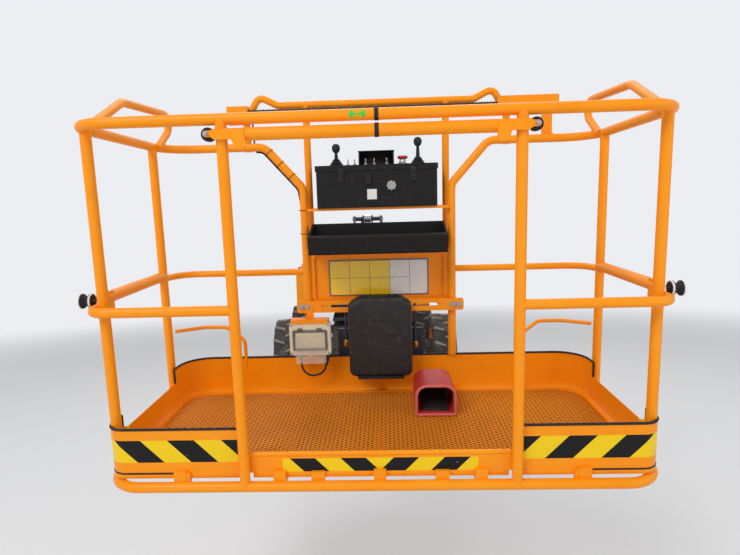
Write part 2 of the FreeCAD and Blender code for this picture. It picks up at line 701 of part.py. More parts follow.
def hood_hinge():
    """Hinge line of the +X hood."""
    return V(HOOD_IN - HINGE_INSET, 0, HOOD_TOP - HINGE_DROP)


def hood_posts(side):
    """Posts on the side tray that carry a hood's hinge pins."""
    hinge = hood_hinge()
    x, z = hinge.x, hinge.z
    parts = []
    for y in HINGE_YS:
        parts.append(box(side * (x - 46), side * (x - 22), y - 45, y + 45, TRAY_BOTTOM + 5, z + 14))
        for step in (-1, 1):
            parts.append(box(side * (x - 24), side * (x + 12), y + step * 22, y + step * 36,
                             z - 12, z + 12))
        parts.append(rod((side * x, y - 40, z), (side * x, y + 40, z), HINGE_PIN_R))
    return parts


def tower_boom():
    """Lower boom: box section with wide pivot hubs and the ears of its cylinder."""
    half_w, half_h = TOWER_W / 2, TOWER_H / 2
    outer = plate_x([(A0.y - 80, A0.z - half_h * 0.7), (A0.y + 120, A0.z - half_h),
                     (A1.y - 150, A1.z - half_h), (A1.y + 75, A1.z - 65), (A1.y + 75, A1.z + 65),
                     (A1.y - 150, A1.z + half_h), (A0.y + 120, A0.z + half_h),
                     (A0.y - 80, A0.z + half_h * 0.7)], -half_w, half_w,
                    [40, 60, 60, 60, 60, 60, 60, 40])
    hubs = [cross_pin(A0, TOWER_HUB_R, CHEEK_IN - RUN_GAP), cross_pin(A1, TOWER_HUB_R, UPRIGHT_IN - RUN_GAP)]
    outer = fuse([outer] + hubs)
    for point in (A0, A1):
        outer = outer.cut(cross_pin(point, PIVOT_PIN_R + PIN_GAP, CHEEK_IN + 5))
    bottom = A0.z - half_h
    ears = clevis(TOWER_CYL_EYE, 45, 16, [(-90, bottom - TOWER_CYL_EYE.z + 1),
                                          (90, bottom - TOWER_CYL_EYE.z + 1), (35, -38), (-35, -38)])
    heads = pin_heads(TOWER_CYL_EYE, 45, 16, 26)
    return fuse([outer] + ears + heads)


def timing_link():
    """Pair of parallel bars under the lower boom that keep the upright level."""
    bars = []
    for side in (-1, 1):
        outline = [(LINK0.y - 45, LINK0.z - LINK_H / 2), (LINK1.y + 45, LINK1.z - LINK_H / 2),
                   (LINK1.y + 45, LINK1.z + LINK_H / 2), (LINK0.y - 45, LINK0.z + LINK_H / 2)]
        bar = plate_x(outline, side * LINK_IN, side * (LINK_IN + LINK_T), LINK_H / 2 - 1)
        for point in (LINK0, LINK1):
            bar = bar.cut(cross_pin(point, PIVOT_PIN_R * 0.7 + PIN_GAP, 200))
        bars.append(bar)
    return group(bars)


def upright():
    """Upright between the booms: two plates with webs, pivot pins and the lift cylinder's foot."""
    outline = [(LINK1.y - 60, LINK1.z - 60), (LINK1.y + 65, LINK1.z - 60), (A1.y + 90, A1.z),
               (B0.y + 85, B0.z - 120), (B0.y + 80, B0.z + 70), (B0.y - 70, B0.z + 70),
               (B0.y - 130, B0.z - 160), (LIFT_FOOT.y - 75, LIFT_FOOT.z + 60),
               (LIFT_FOOT.y - 75, LIFT_FOOT.z - 50), (A1.y - 85, A1.z)]
    radii = [50, 50, 60, 80, 65, 65, 60, 50, 50, 60]
    parts = []
    for side in (-1, 1):
        parts.append(plate_x(outline, side * UPRIGHT_IN, side * (UPRIGHT_IN + UPRIGHT_T), radii))
    reach = UPRIGHT_IN + UPRIGHT_T
    parts.append(cross_pin(A1, PIVOT_PIN_R, reach + 8))
    for side in (-1, 1):
        parts.append(cross_boss(LINK1, side, LINK_IN - 2, reach + 6, PIVOT_PIN_R * 0.7))
    parts.append(cross_pin(B0, PIVOT_PIN_R, reach + 8))
    parts.append(cross_pin(LIFT_FOOT, 28, reach + 6))
    web = box(-UPRIGHT_IN - 1, UPRIGHT_IN + 1, A1.y + 30, A1.y + 48, A1.z + 130, B0.z - 190)
    parts.append(web)
    return fuse(parts)


def main_boom():
    """Main boom: hollow box section with pivot bosses and cylinder ears."""
    half_w, half_h = MAIN_W / 2, MAIN_H / 2
    tail, nose = B0.y + MAIN_TAIL, B0.y - MAIN_NOSE
    outer = plate_x([(tail, B0.z - half_h * 0.55), (tail - 140, B0.z - half_h),
                     (nose, B0.z - half_h), (nose, B0.z + half_h), (tail - 90, B0.z + half_h),
                     (tail, B0.z + half_h * 0.55)], -half_w, half_w, [40, 60, 0, 0, 60, 40])
    inner = box(-half_w + MAIN_WALL, half_w - MAIN_WALL, nose - 10, B0.y - 420,
                B0.z - half_h + MAIN_WALL, B0.z + half_h - MAIN_WALL)
    body = outer.cut(inner)
    body = body.cut(cross_pin(B0, PIVOT_PIN_R + PIN_GAP, half_w + 5))
    collar = box(-half_w - 12, half_w + 12, nose, nose + 90, B0.z - half_h - 12, B0.z + half_h + 12)
    collar = collar.cut(box(-half_w + 5, half_w - 5, nose - 10, nose + 110, B0.z - half_h + 5,
                            B0.z + half_h - 5))
    eye = B0 + V(0, -LIFT_EYE_ALONG, -LIFT_EYE_DROP)
    bottom = B0.z - half_h
    ears = clevis(eye, 45, 18, [(-110, bottom - eye.z + 1), (110, bottom - eye.z + 1),
                                (40, -40), (-40, -40)])
    heads = pin_heads(eye, 45, 18, 30)
    return turned(fuse([body, collar] + ears + heads), NOSE_DROP_DEG, B0)


def fly_tube():
    """Box section of the telescoping boom, laid level through B0."""
    half_w, half_h = FLY_W / 2, FLY_H / 2
    return box(-half_w, half_w, B0.y - FLY_REAR_ALONG, B0.y - FLY_FRONT_ALONG,
               B0.z - half_h, B0.z + half_h)


def fly_boom():
    """Telescoping boom: box section that slides in the main boom on pads, with the level ears."""
    half_h, rear = FLY_H / 2, B0.y - FLY_REAR_ALONG
    level = turned_point(LEVEL_FLY_PIN, -NOSE_DROP_DEG, B0)
    top = B0.z + half_h
    ears = clevis(level, 30, 14, [(-50, top - level.z - 1), (50, top - level.z - 1), (25, 26), (-25, 26)])
    level_pin = cross_pin(level, 14, 48)
    pads = []
    for z in (-1, 1):
        pads.append(box(-60, 60, rear - 110, rear - 20, B0.z + z * (half_h - 2),
                        B0.z + z * (MAIN_H / 2 - MAIN_WALL - PIN_GAP)))
    return turned(fuse([fly_tube()] + ears + [level_pin] + pads), NOSE_DROP_DEG, B0)


def fly_head():
    """Head on the telescoping boom's end: two cheeks and the pin that carries the jib's base."""
    half_w, half_h = FLY_W / 2, FLY_H / 2
    front = B0.y - FLY_FRONT_ALONG
    nose = B0 + V(0, -NOSE_ALONG, 0)
    outline = [(front + 60, B0.z - half_h + 4), (front + 60, B0.z + half_h - 4), (front, B0.z + 96),
               (nose.y + 50, nose.z + 58), (nose.y - 55, nose.z + 50), (nose.y - 55, nose.z - 50),
               (nose.y + 50, nose.z - 58), (front, B0.z - 92)]
    cheeks = []
    for side in (-1, 1):
        cheeks.append(plate_x(outline, side * (half_w - 22), side * half_w, [0, 0, 40, 60, 48, 48, 60, 40]))
    pin = cross_pin(nose, PIVOT_PIN_R, half_w + 14)
    return turned(fuse(cheeks + [pin]).cut(fly_tube()), NOSE_DROP_DEG, B0)


def cylinder(foot, eye, barrel_r, rod_r, half_eye, foot_pin_r, eye_pin_r, stroke, retract=0.0):
    """Hydraulic cylinder from foot to eye: barrel and rod as two solids, with room for its stroke."""
    along = (eye - foot).normalize()
    closed = (eye - foot).Length - 60
    mouth = closed - 60
    overlap = min(stroke + 60, mouth - 110)
    foot_eye = cross_pin(foot, foot_pin_r + 20, half_eye)
    neck = rod(foot, foot + along * 90, min(half_eye, barrel_r) - 2)
    body = rod(foot + along * 80, foot + along * mouth, barrel_r)
    gland = rod(foot + along * (mouth - 40), foot + along * mouth, barrel_r + 4)
    barrel = fuse([foot_eye, neck, body, gland])
    barrel = barrel.cut(cross_pin(foot, foot_pin_r + PIN_GAP, max(half_eye, barrel_r) + 5))
    bottom = mouth - overlap - retract
    barrel = barrel.cut(rod(foot + along * bottom, foot + along * closed, rod_r + PIN_GAP))
    shaft = rod(foot + along * (mouth - overlap + 5), eye, rod_r)
    rod_eye = cross_pin(eye, eye_pin_r + 20, half_eye)
    return barrel, fuse([shaft, rod_eye])


def jib_base():
    """Head at the boom's nose that carries the jib, levelled by its cylinder."""
    outline = [(N0.y + 75, N0.z - 60), (N0.y + 85, N0.z + 60), (LEVEL_EAR_PIN.y + 30, LEVEL_EAR_PIN.z + 25),
               (LEVEL_EAR_PIN.y - 35, LEVEL_EAR_PIN.z + 25), (JIB_IN_UP.y - 55, JIB_IN_UP.z + 45),
               (JIB_IN.y - 60, JIB_IN.z - 40), (JIB_CYL_FOOT.y - 55, JIB_CYL_FOOT.z - 40),
               (JIB_CYL_FOOT.y + 50, JIB_CYL_FOOT.z - 40)]
    plates = []
    inner = FLY_W / 2 + RUN_GAP + 10
    for side in (-1, 1):
        plates.append(plate_x(outline, side * inner, side * (inner + 18),
                              [50, 30, 25, 25, 40, 40, 40, 40]))
    reach = inner + 18
    parts = plates
    for side in (-1, 1):
        boss = cross_boss(N0, side, FLY_W / 2 + 0.5, inner + 1, 58)
        parts.append(boss.cut(cross_pin(N0, PIVOT_PIN_R + PIN_GAP, 300)))
    whole = fuse(parts).cut(cross_pin(N0, PIVOT_PIN_R + PIN_GAP, 300))
    adds = [cross_pin(JIB_IN, 22, reach + 5), cross_pin(JIB_IN_UP, 18, reach + 5),
            cross_pin(JIB_CYL_FOOT, 18, reach + 5)]
    for side in (-1, 1):
        adds.append(cross_boss(LEVEL_EAR_PIN, side, 31, reach + 6, 16))
        adds.append(cross_boss(LEVEL_EAR_PIN, side, 31, 40, 30))
    return fuse([whole] + adds)


def beam_between(start, end, width, height, pin_r, bore=True):
    """Square bar between two pins along X, with eyes at both ends."""
    length = (end - start).Length
    body = box(-width / 2, width / 2, 30, length - 30, -height / 2, height / 2)
    eyes = [cross_pin(V(0, 0, 0), height / 2 + 4, width / 2),
            cross_pin(V(0, length, 0), height / 2 + 4, width / 2)]
    shape = fuse([body] + eyes)
    if bore:
        for y in (0, length):
            shape = shape.cut(cross_pin(V(0, y, 0), pin_r + PIN_GAP, width))
    angle = math.degrees(math.atan2(end.z - start.z, end.y - start.y))
    shape.rotate(V(0, 0, 0), X_AXIS, angle)
    shape.translate(start)
    return shape


def jib_arm():
    """Lower jib beam, with the cylinder's ears below it."""
    arm = beam_between(JIB_IN, JIB_OUT, JIB_W, JIB_H, 22)
    eye = JIB_CYL_EYE
    ears = clevis(eye, 40, 14, [(-70, 110), (80, 150), (32, -30), (-32, -30)])
    heads = pin_heads(eye, 40, 14, 22)
    return fuse([arm] + ears + heads)


def jib_link():
    """Upper jib bar that keeps the platform level."""
    return beam_between(JIB_IN_UP, JIB_OUT_UP, JIB_W - 20, 60, 18)


def jib_head():
    """Head at the jib's outer end that holds the rotary actuator."""
    back = ROTATOR_AXIS.y + ROTATOR_R - 6
    low, high = rotator_bottom() + 3, rotator_top() - 3
    outline = [(back, low), (JIB_OUT.y + 55, JIB_OUT.z - 60), (JIB_OUT_UP.y + 50, JIB_OUT_UP.z + 45),
               (back, high)]
    parts = []
    for side in (-1, 1):
        parts.append(plate_x(outline, side * JIB_EAR_IN, side * (JIB_EAR_IN + JIB_EAR_T),
                             [0, 45, 45, 0]))
    reach = JIB_EAR_IN + JIB_EAR_T
    parts.append(cross_pin(JIB_OUT, 22, reach + 5))
    parts.append(cross_pin(JIB_OUT_UP, 18, reach + 5))
    housing = Part.makeCylinder(ROTATOR_R, rotator_top() - rotator_bottom(),
                                V(0, ROTATOR_AXIS.y, rotator_bottom()), Z_AXIS)
    backing = box(-reach, reach, back - 30, back + 14, low, high)
    shape = fuse(parts + [backing, housing])
    return shape.cut(rod((0, ROTATOR_AXIS.y, rotator_bottom() - 5), (0, ROTATOR_AXIS.y, rotator_top() + 5),
                         30 + PIN_GAP))


def rotator_bottom():
    """Lower face of the rotary actuator."""
    return JIB_OUT.z - 75


def rotator_top():
    """Upper face of the rotary actuator."""
    return JIB_OUT_UP.z + 65


def platform_mount():
    """Bracket behind the platform that grips the actuator above and below."""
    low = rotator_bottom() - PLAT_ORIGIN.z - RUN_GAP * 0.2
    high = rotator_top() - PLAT_ORIGIN.z + RUN_GAP * 0.2
    face = PLAT_DEPTH + TUBE_R - 4
    parts = [box(-190, 190, face, face + 14, 0, 330)]
    for z0, z1 in ((low - 16, low), (high, high + 16)):
        parts.append(plate_z([(-150, face + 5), (150, face + 5), (ROTATOR_R, ROTATOR_Y + 40),
                              (-ROTATOR_R, ROTATOR_Y + 40)], z0, z1, [0, 0, 50, 50]))
    for side in (-1, 1):
        parts.append(box(side * 92, side * 106, face + 5, ROTATOR_Y - ROTATOR_R - 12, low - 1, high + 1))
    parts.append(rod((0, ROTATOR_Y, low - 16), (0, ROTATOR_Y, high + 16), 30))
    return fuse(parts)


def loop_tube(half_w, depth, z_front, z_rear, front_r, rear_r):
    """Closed rail as two mirrored halves joined at the middle."""
    points = [(0, 0, z_front), (half_w, 0, z_front), (half_w, depth, z_rear), (0, depth, z_rear)]
    half = pipe(points, TUBE_R, [0, front_r, rear_r, 0])
    return half.fuse(mirrored(half))


def platform_base():
    """Bottom rail with the floor's cross bars and the tabs that carry the toe boards."""
    rail = loop_tube(PLAT_HALF_W, PLAT_DEPTH, 0, 0, CORNER_FRONT_R, CORNER_REAR_R)
    bars = []
    top = FLOOR_TOP - FLOOR_T
    for x in (-650, -325, 0, 325, 650):
        bars.append(box(x - 20, x + 20, 4, PLAT_DEPTH - 4, 2, top))
    tabs = []
    for x in (-640, -200, 200, 640):
        tabs.append(box(x - 22, x + 22, 6, 22, 8, TOE_BOTTOM + 6))
    return fuse([rail] + bars + tabs)


def platform_floor():
    """Mesh floor panel as a thin sheet."""
    plan = [(-PLAT_HALF_W + 30, 30), (PLAT_HALF_W - 30, 30), (PLAT_HALF_W - 30, PLAT_DEPTH - 22),
            (-PLAT_HALF_W + 30, PLAT_DEPTH - 22)]
    floor = plate_z(plan, FLOOR_TOP - FLOOR_T, FLOOR_TOP, [70, 70, 110, 110])
    return floor


def toe_ring(z0, z1, side):
    """Thin sheet ring inside the rails, between two heights, with its sides at +-side."""
    front, rear = TUBE_R + 1, PLAT_DEPTH + TOE_T
    radii = [60, 60, 120, 120]
    outer = plate_z([(-side, front), (side, front), (side, rear), (-side, rear)], z0, z1, radii)
    inner_plan = [(-side + TOE_T, front + TOE_T), (side - TOE_T, front + TOE_T),
                  (side - TOE_T, rear - TOE_T), (-side + TOE_T, rear - TOE_T)]
    inner = plate_z(inner_plan, z0 - 1, z1 + 1, [r - TOE_T for r in radii])
    return outer.cut(inner)


def toe_boards():
    """Toe boards round the floor: front wings, lower sill at the entry, sides and rear."""
    wide = PLAT_HALF_W - TOE_T
    narrow = PLAT_HALF_W - TUBE_R - TOE_T - 1
    front = toe_ring(TOE_BOTTOM, TOE_TOP, wide).common(box(-wide, wide, 0, 140, 0, 400))
    front = front.cut(box(-INNER_POST_X, INNER_POST_X, 0, 60, SILL_TOP, 400))
    sides = toe_ring(TOE_BOTTOM, SIDE_TOE_TOP, narrow).common(box(-wide, wide, 137, 560, 0, 400))
    rear = toe_ring(TOE_BOTTOM, REAR_TOE_TOP, narrow).common(box(-wide, wide, 559, 800, 0, 400))
    steps = [box(s * (narrow - TOE_T), s * wide, 137, 140, TOE_BOTTOM, SIDE_TOE_TOP) for s in (-1, 1)]
    lip = rod((-INNER_POST_X + TUBE_R, TUBE_R + 6, SILL_TOP), (INNER_POST_X - TUBE_R, TUBE_R + 6, SILL_TOP), 8)
    return fuse([front, sides, rear, lip] + steps)


def top_rail():
    """Top rail round the platform, its rear ends bent down as the console's side tubes."""
    points = [(0, 0, PLAT_H), (PLAT_HALF_W, 0, PLAT_H), (PLAT_HALF_W, PLAT_DEPTH, REAR_TOP_Z),
              (BENT_TUBE_TOP_X, PLAT_DEPTH, REAR_TOP_Z), (BENT_TUBE_X, PLAT_DEPTH, 955),
              (BENT_TUBE_X, PLAT_DEPTH, REAR_TOE_TOP)]
    half = pipe(points, TUBE_R, [0, CORNER_FRONT_R, CORNER_REAR_R, 60, 60, 0])
    return half.fuse(mirrored(half))


def post(x, y, z0, z1):
    """Vertical post."""
    return rod((x, y, z0), (x, y, z1), TUBE_R)


def posts():
    """Four corner posts and the two posts of the entry."""
    shapes = []
    for side in (-1, 1):
        shapes.append(post(side * INNER_POST_X, 0, 0, PLAT_H))
        shapes.append(post(side * FRONT_POST[0], FRONT_POST[1], 0, PLAT_H))
        shapes.append(post(side * PLAT_HALF_W, REAR_POST_Y, 0, REAR_TOP_Z + 3))
    return group(shapes)


def mid_rails():
    """Middle rails of the front wings, the sides and the rear, with the small bent hooks."""
    x, d = PLAT_HALF_W, PLAT_DEPTH
    front = pipe([(INNER_POST_X, 0, MID_RAIL_Z), (x, 0, MID_RAIL_Z), (x, 100, MID_RAIL_Z)],
                 TUBE_R - 1, [0, 60, 0])
    side = rod((x, 112, SIDE_RAIL_Z), (x, REAR_POST_Y, SIDE_RAIL_Z), TUBE_R + 3)
    bracket = box(x - 16, x + 8, 96, 150, MID_RAIL_Z - 20, SIDE_RAIL_Z + 22)
    rear = pipe([(x, REAR_POST_Y, REAR_RAIL_Z), (x, d, REAR_RAIL_Z), (BENT_TUBE_X, d, REAR_RAIL_Z)],
                TUBE_R - 3, [0, 100, 0])
    hook = pipe([(610, d + 2, REAR_TOE_TOP - 40), (610, d + 2, 290), (690, d + 2, 352),
                 (790, d + 2, 352), (x, d - 60, 352)], 8, [0, 40, 40, 30, 0])
    return fuse([front, side, bracket, rear]), hook


def handrails():
    """Raised hand rails above both sides."""
    x = PLAT_HALF_W
    high, rear = PLAT_H + 115, PLAT_DEPTH - 20
    ear = pipe([(x - 20, 90, PLAT_H), (x - 20, 330, high), (x - 20, rear, high + 10),
                (x - 20, rear + 42, high - 45), (x - 20, rear - 100, REAR_TOP_Z)], TUBE_R - 2,
               [0, 90, 40, 40, 0])
    return ear


def back_panel():
    """Sheet panel between the console's side tubes and the slotted bar below it."""
    w, y = BENT_TUBE_X - 15, PLAT_DEPTH + 18
    panel = plate_y([(-w, 452), (w, 452), (w, 680), (-w, 680)], y, y + 4, 12)
    frame = plate_y([(-w, 452), (w, 452), (w, 680), (-w, 680)], y - 16, y, 12)
    inset = w - 18
    frame = frame.cut(plate_y([(-inset, 470), (inset, 470), (inset, 662), (-inset, 662)], y - 40, y, 12))
    end, front = BENT_TUBE_X + 47, PLAT_DEPTH - 32
    bar = plate_y([(-end, 416), (end, 416), (end, 468), (-end, 468)], front, front + 12, 10)
    for x in (-190, 190):
        slot = plate_y([(x - 65, 436), (x + 65, 436), (x + 65, 450), (x - 65, 450)], front - 8, front + 22, 6.9)
        bar = bar.cut(slot)
    feet = [box(s * (BENT_TUBE_X - 19), s * (BENT_TUBE_X + 19), front + 11, front + 24, 424, 460) for s in (-1, 1)]
    webs = [box(s * (w - 50), s * (w - 32), front + 11, y - 14, 440, 468) for s in (-1, 1)]
    return fuse([panel, frame, bar] + feet + webs)


def console_frame():
    """Console posts, its shelf and the arch over it, with the boxes at the arch's ends."""
    y, post_x = CONSOLE_Y, BENT_TUBE_X - 15
    end, hump = ARCH_END_X, ARCH_Z + ARCH_HUMP
    side_z = ARCH_Z - 60
    parts = []
    for side in (-1, 1):
        parts.append(rod((side * post_x, y, 700), (side * post_x, y, ARCH_Z), 15))
        parts.append(box(side * (post_x - 15), side * (post_x + 15), PLAT_DEPTH + 16, y + 5, 700, 716))
    arch = pipe([(-end, y, REAR_TOP_Z), (-end, y, side_z), (60 - end, y, hump), (140 - end, y, ARCH_Z),
                 (end - 140, y, ARCH_Z), (end - 60, y, hump), (end, y, side_z), (end, y, REAR_TOP_Z)],
                TUBE_R - 2, [0, 40, 30, 40, 40, 30, 40, 0])
    parts.append(arch)
    for side in (-1, 1):
        parts.append(box(side * (end - 15), side * (end + 15), PLAT_DEPTH + 8, y + 14, REAR_TOP_Z - 12,
                         REAR_TOP_Z + 12))
    parts.append(box(-post_x, post_x, PLAT_DEPTH - 30, y, SHELF_Z, CONSOLE_Z))
    parts.append(box(-end - 80, -end + 12, y - 22, y + 22, ARCH_Z - 75, ARCH_Z))
    parts.append(box(end - 43, end + 209, y - 45, y + 30, ARCH_Z - 48, ARCH_Z + 2))
    parts.append(box(end + 140, end + 180, PLAT_DEPTH, y - 40, REAR_TOP_Z + 4, REAR_TOP_Z + 20))
    parts.append(box(end + 140, end + 180, y - 50, y - 30, REAR_TOP_Z + 4, ARCH_Z - 46))
    return fuse(parts)


def console_box():
    """Control box with its lid, on the shelf."""
    front, rear, seam = PLAT_DEPTH - 40, PLAT_DEPTH + 122, CONSOLE_TOP - 23
    body = plate_z([(-254, front), (254, front), (254, rear), (-254, rear)], CONSOLE_Z, seam, 14)
    lid = plate_z([(-258, front - 4), (258, front - 4), (258, rear + 4), (-258, rear + 4)], seam,
                  CONSOLE_TOP, 16)
    return fuse([body, lid])


def controls():
    """Levers, display hood, stop button and toggles on the console."""
    top, y = CONSOLE_TOP, PLAT_DEPTH + 40
    parts = []
    for x, height in ((-172, 78), (178, 96)):
        boot = Part.makeCone(30, 16, 26, V(x, y, top), Z_AXIS)
        stem = Part.makeCylinder(6, height, V(x, y, top), Z_AXIS)
        knob = Part.makeSphere(17, V(x, y, top + height))
        parts.append(fuse([boot, stem, knob]))
    hood = plate_x([(y - 20, top), (y + 70, top), (y + 70, top + 62), (y - 8, top + 62)], -76, 76, [0, 0, 10, 10])
    room = plate_x([(y - 30, top + 8), (y + 62, top + 8), (y + 62, top + 54), (y - 20, top + 54)], -68, 68, 0)
    parts.append(hood.cut(room))
    parts.append(fuse([Part.makeCylinder(14, 20, V(112, y - 15, top), Z_AXIS),
                       Part.makeCylinder(22, 16, V(112, y - 15, top + 20), Z_AXIS)]))
    for x in (-118, -44, 0, 44):
        parts.append(rod((x, y - 55, top + 1), (x, y - 60, top + 26), 4))
    return group(parts)


def tray():
    """Open parts tray in front of the console."""
    y0, y1 = PLAT_DEPTH - 160, PLAT_DEPTH + 12
    floor = 680 + PIN_GAP
    outer = plate_x([(y0 + 12, floor), (y1, floor), (y1, 800), (y1 - 16, 800), (y0, 757)], -283, 283,
                    [8, 8, 4, 4, 8])
    inner = plate_x([(y0 + 20, 692), (y1 - 8, 692), (y1 - 8, 830), (y0 + 10, 830)], -275, 275, [6, 6, 0, 0])
    return outer.cut(inner)


def document_box():
    """Moulded box for papers, domed on top, with a sunk rectangle on its face."""
    front, rear = PLAT_DEPTH - 110, PLAT_DEPTH - 32
    outline = [(-135, 145), (135, 145), (135, 462), (88, 494), (-88, 494), (-135, 462)]
    body = plate_y(outline, front, rear, [26, 26, 30, 40, 40, 30])
    recess = box(-80, 80, front - 10, front + 3, 330, 392)
    return body.cut(recess)


def socket_box():
    """Socket housing below the slotted bar, with its hanger and clear flap."""
    y0, y1 = PLAT_DEPTH - 80, PLAT_DEPTH - 36
    frame = plate_y([(-392, 240), (-215, 240), (-215, 380), (-392, 380)], y0, y1, 10)
    hanger = box(-318, -290, y1, y1 + 8, 350, 440)
    hanger = fuse([hanger, box(-318, -290, y1 - 4, y1 + 8, 350, 372)])
    cap = box(-384, -224, y0 - 4, y1 + 6, 380, 396)
    return fuse([frame, cap, hanger])


def socket_flap():
    """Clear flap over the socket."""
    y = PLAT_DEPTH - 80
    return plate_y([(-368, 204), (-236, 204), (-236, 330), (-368, 330)], y - 10, y - PIN_GAP, 8)


def foot_switch():
    """Foot pedal's open guard, its mouth towards the entry."""
    half, z0, top = FOOT_HALF_W, FLOOR_TOP, FLOOR_TOP + FOOT_H
    shell = plate_y([(FOOT_X - half, z0), (FOOT_X + half, z0), (FOOT_X + half, top),
                     (FOOT_X - half, top)], FOOT_FRONT_Y, FOOT_REAR_Y, [4, 4, 45, 45])
    inner = half - 9
    room = plate_y([(FOOT_X - inner, z0 + 12), (FOOT_X + inner, z0 + 12), (FOOT_X + inner, top - 9),
                    (FOOT_X - inner, top - 9)], FOOT_FRONT_Y - 10, FOOT_REAR_Y - 10, [3, 3, 38, 38])
    return shell.cut(room)


def foot_pedal():
    """Tread plate of the foot switch, inside its guard."""
    z0, half = FLOOR_TOP + 12, FOOT_HALF_W - 30
    front, rear = FOOT_FRONT_Y + 20, FOOT_REAR_Y - 25
    return plate_x([(front, z0), (rear, z0), (rear, z0 + 42), (front, z0 + 12)],
                   FOOT_X - half, FOOT_X + half, 0)


def entry_bar():
    """Sliding entry bar: tube between two lobed plates that ride on the entry posts."""
    x = INNER_POST_X
    front, back = -TUBE_R - 9, -TUBE_R - PIN_GAP
    roller_x = x + TUBE_R + PIN_GAP + BAR_ROLLER_R
    roller_z = BAR_Z + 2
    top, bottom, lobe = BAR_Z + 16, BAR_Z - 15, BAR_Z - 42
    parts = [rod((60 - x, -4, BAR_Z), (x - 60, -4, BAR_Z), BAR_TUBE_R)]
    for side in (-1, 1):
        outline = [(x - 76, lobe + 6), (x - 72, top), (x + 14, top), (roller_x - 12, roller_z + 9),
                   (roller_x + 9, roller_z + 9), (roller_x + 9, roller_z - 9),
                   (roller_x - 12, roller_z - 9), (x + 14, bottom), (x - 34, bottom),
                   (x - 44, lobe), (x - 70, lobe)]
        parts.append(plate_y([(side * px, z) for px, z in outline], front, back,
                             [4, 4, 6, 6, 8, 8, 6, 6, 6, 6, 6]))
        inner = [side * (x - 62), side * (x - 24)]
        parts.append(box(min(inner), max(inner), front + 4, 22, BAR_Z - 12, BAR_Z + 14))
        hub = side * roller_x
        parts.append(rod((hub, front - 5, roller_z), (hub, -9, roller_z), 6))
        parts.append(rod((hub, -10, roller_z), (hub, 10, roller_z), BAR_ROLLER_R))
    return fuse(parts)


def bumpers():
    """Hourglass bumper rollers on the front corners and guide rollers beside the entry."""
    parts = []
    x = PLAT_HALF_W + TUBE_R
    for side in (-1, 1):
        roller = revolve_x([(0, 0), (0, 24), (8, 24), (20, 13), (32, 24), (42, 24), (42, 0)], side)
        roller.translate(V(side * (x - 2), 78, SIDE_RAIL_Z))
        parts.append(roller)
    return group(parts)


def spiral_cable():
    """Wrapped cable held straight between the arch's end boxes."""
    y, z = CONSOLE_Y - 22, ARCH_Z - 25
    return rod((-ARCH_END_X + 12, y, z), (ARCH_END_X - 43, y, z), 9)


def platform_pieces():
    """Platform nodes in the platform's own frame, each cut to meet what it is welded to."""
    base = platform_base()
    rail = top_rail()
    toes = toe_boards().cut(base)
    upright_posts = posts().cut(base).cut(rail).cut(toes)
    rails, hook = mid_rails()
    rails = group([rails, mirrored(rails)]).cut(upright_posts).cut(rail)
    hooks = both_sides(hook).cut(toes).cut(upright_posts)
    ears = both_sides(handrails()).cut(rail)
    panel = back_panel().cut(rail)
    console = console_frame().cut(rail)
    ctrl_box = console_box()
    mount = platform_mount().cut(base).cut(toes)
    doc = document_box().cut(panel)
    return {
        "platform_base": base,
        "platform_floor": platform_floor().cut(toes).cut(upright_posts),
        "toe_boards": toes,
        "top_rail": rail,
        "posts": upright_posts,
        "mid_rails": group([rails, hooks]),
        "handrails": ears,
        "back_panel": panel,
        "console_frame": console.cut(ctrl_box),
        "console_box": ctrl_box,
        "console_controls": controls(),
        "parts_tray": tray().cut(rail),
        "document_box": doc,
        "socket_box": socket_box().cut(panel),
        "socket_flap": socket_flap(),
        "foot_guard": foot_switch(),
        "foot_pedal": foot_pedal(),
        "bumpers": bumpers().cut(rails),
        "spiral_cable": spiral_cable().cut(console),
        "platform_mount": mount,
    }


def pieces():
    """Every node with its shape, about the slewing axis."""
    nodes = {
        "chassis_frame": chassis_frame(),
        "axle_fixed": axle_fixed(),
        "axle_steer": axle_steer(),
        "steer_rod": steer_rod(),
        "turntable_deck": turntable_deck(),
        "counterweight": counterweight(),
        "engine_block": engine_block(),
        "hood_right": hood(),
        "hood_left": mirrored(hood()),
        "tower_boom": tower_boom(),
        "timing_link": timing_link(),
        "upright": upright(),
        "main_boom": main_boom(),
        "fly_boom": fly_boom(),
        "fly_head": fly_head(),
        "jib_base": tilted(jib_base()),
        "jib_arm": tilted(jib_arm()),
        "jib_link": tilted(jib_link()),
        "jib_head": tilted(jib_head()),
    }
    for name, side, y in WHEELS:
        nodes["tyre_" + name] = at_wheel(tyre(), side, y)
        nodes["rim_" + name] = at_wheel(rim(), side, y)
        if name in STEERED:
            nodes["knuckle_" + name] = at_wheel(knuckle(), side, y)
    nodes["tower_barrel"], nodes["tower_rod"] = cylinder(
        TOWER_CYL_FOOT, TOWER_CYL_EYE, 52, 32, 40, 22, 20, TOWER_STROKE)
    nodes["lift_barrel"], nodes["lift_rod"] = cylinder(
        LIFT_FOOT, LIFT_EYE, 58, 36, 40, 28, 22, LIFT_STROKE)
    ear = tilted_point(LEVEL_EAR_PIN)
    nodes["level_barrel"], nodes["level_rod"] = cylinder(
        LEVEL_FLY_PIN, ear, 28, 15, 26, 14, 14, LEVEL_STROKE)
    foot, eye = tilted_point(JIB_CYL_FOOT), tilted_point(JIB_CYL_EYE)
    nodes["jib_barrel"], nodes["jib_rod"] = cylinder(
        foot, eye, 31, 18, 34, 18, 16, JIB_STROKE, JIB_RETRACT)
    for name, shape in platform_pieces().items():
        nodes[name] = on_platform(shape)
    nodes["entry_bar"] = on_platform(entry_bar())
    return nodes


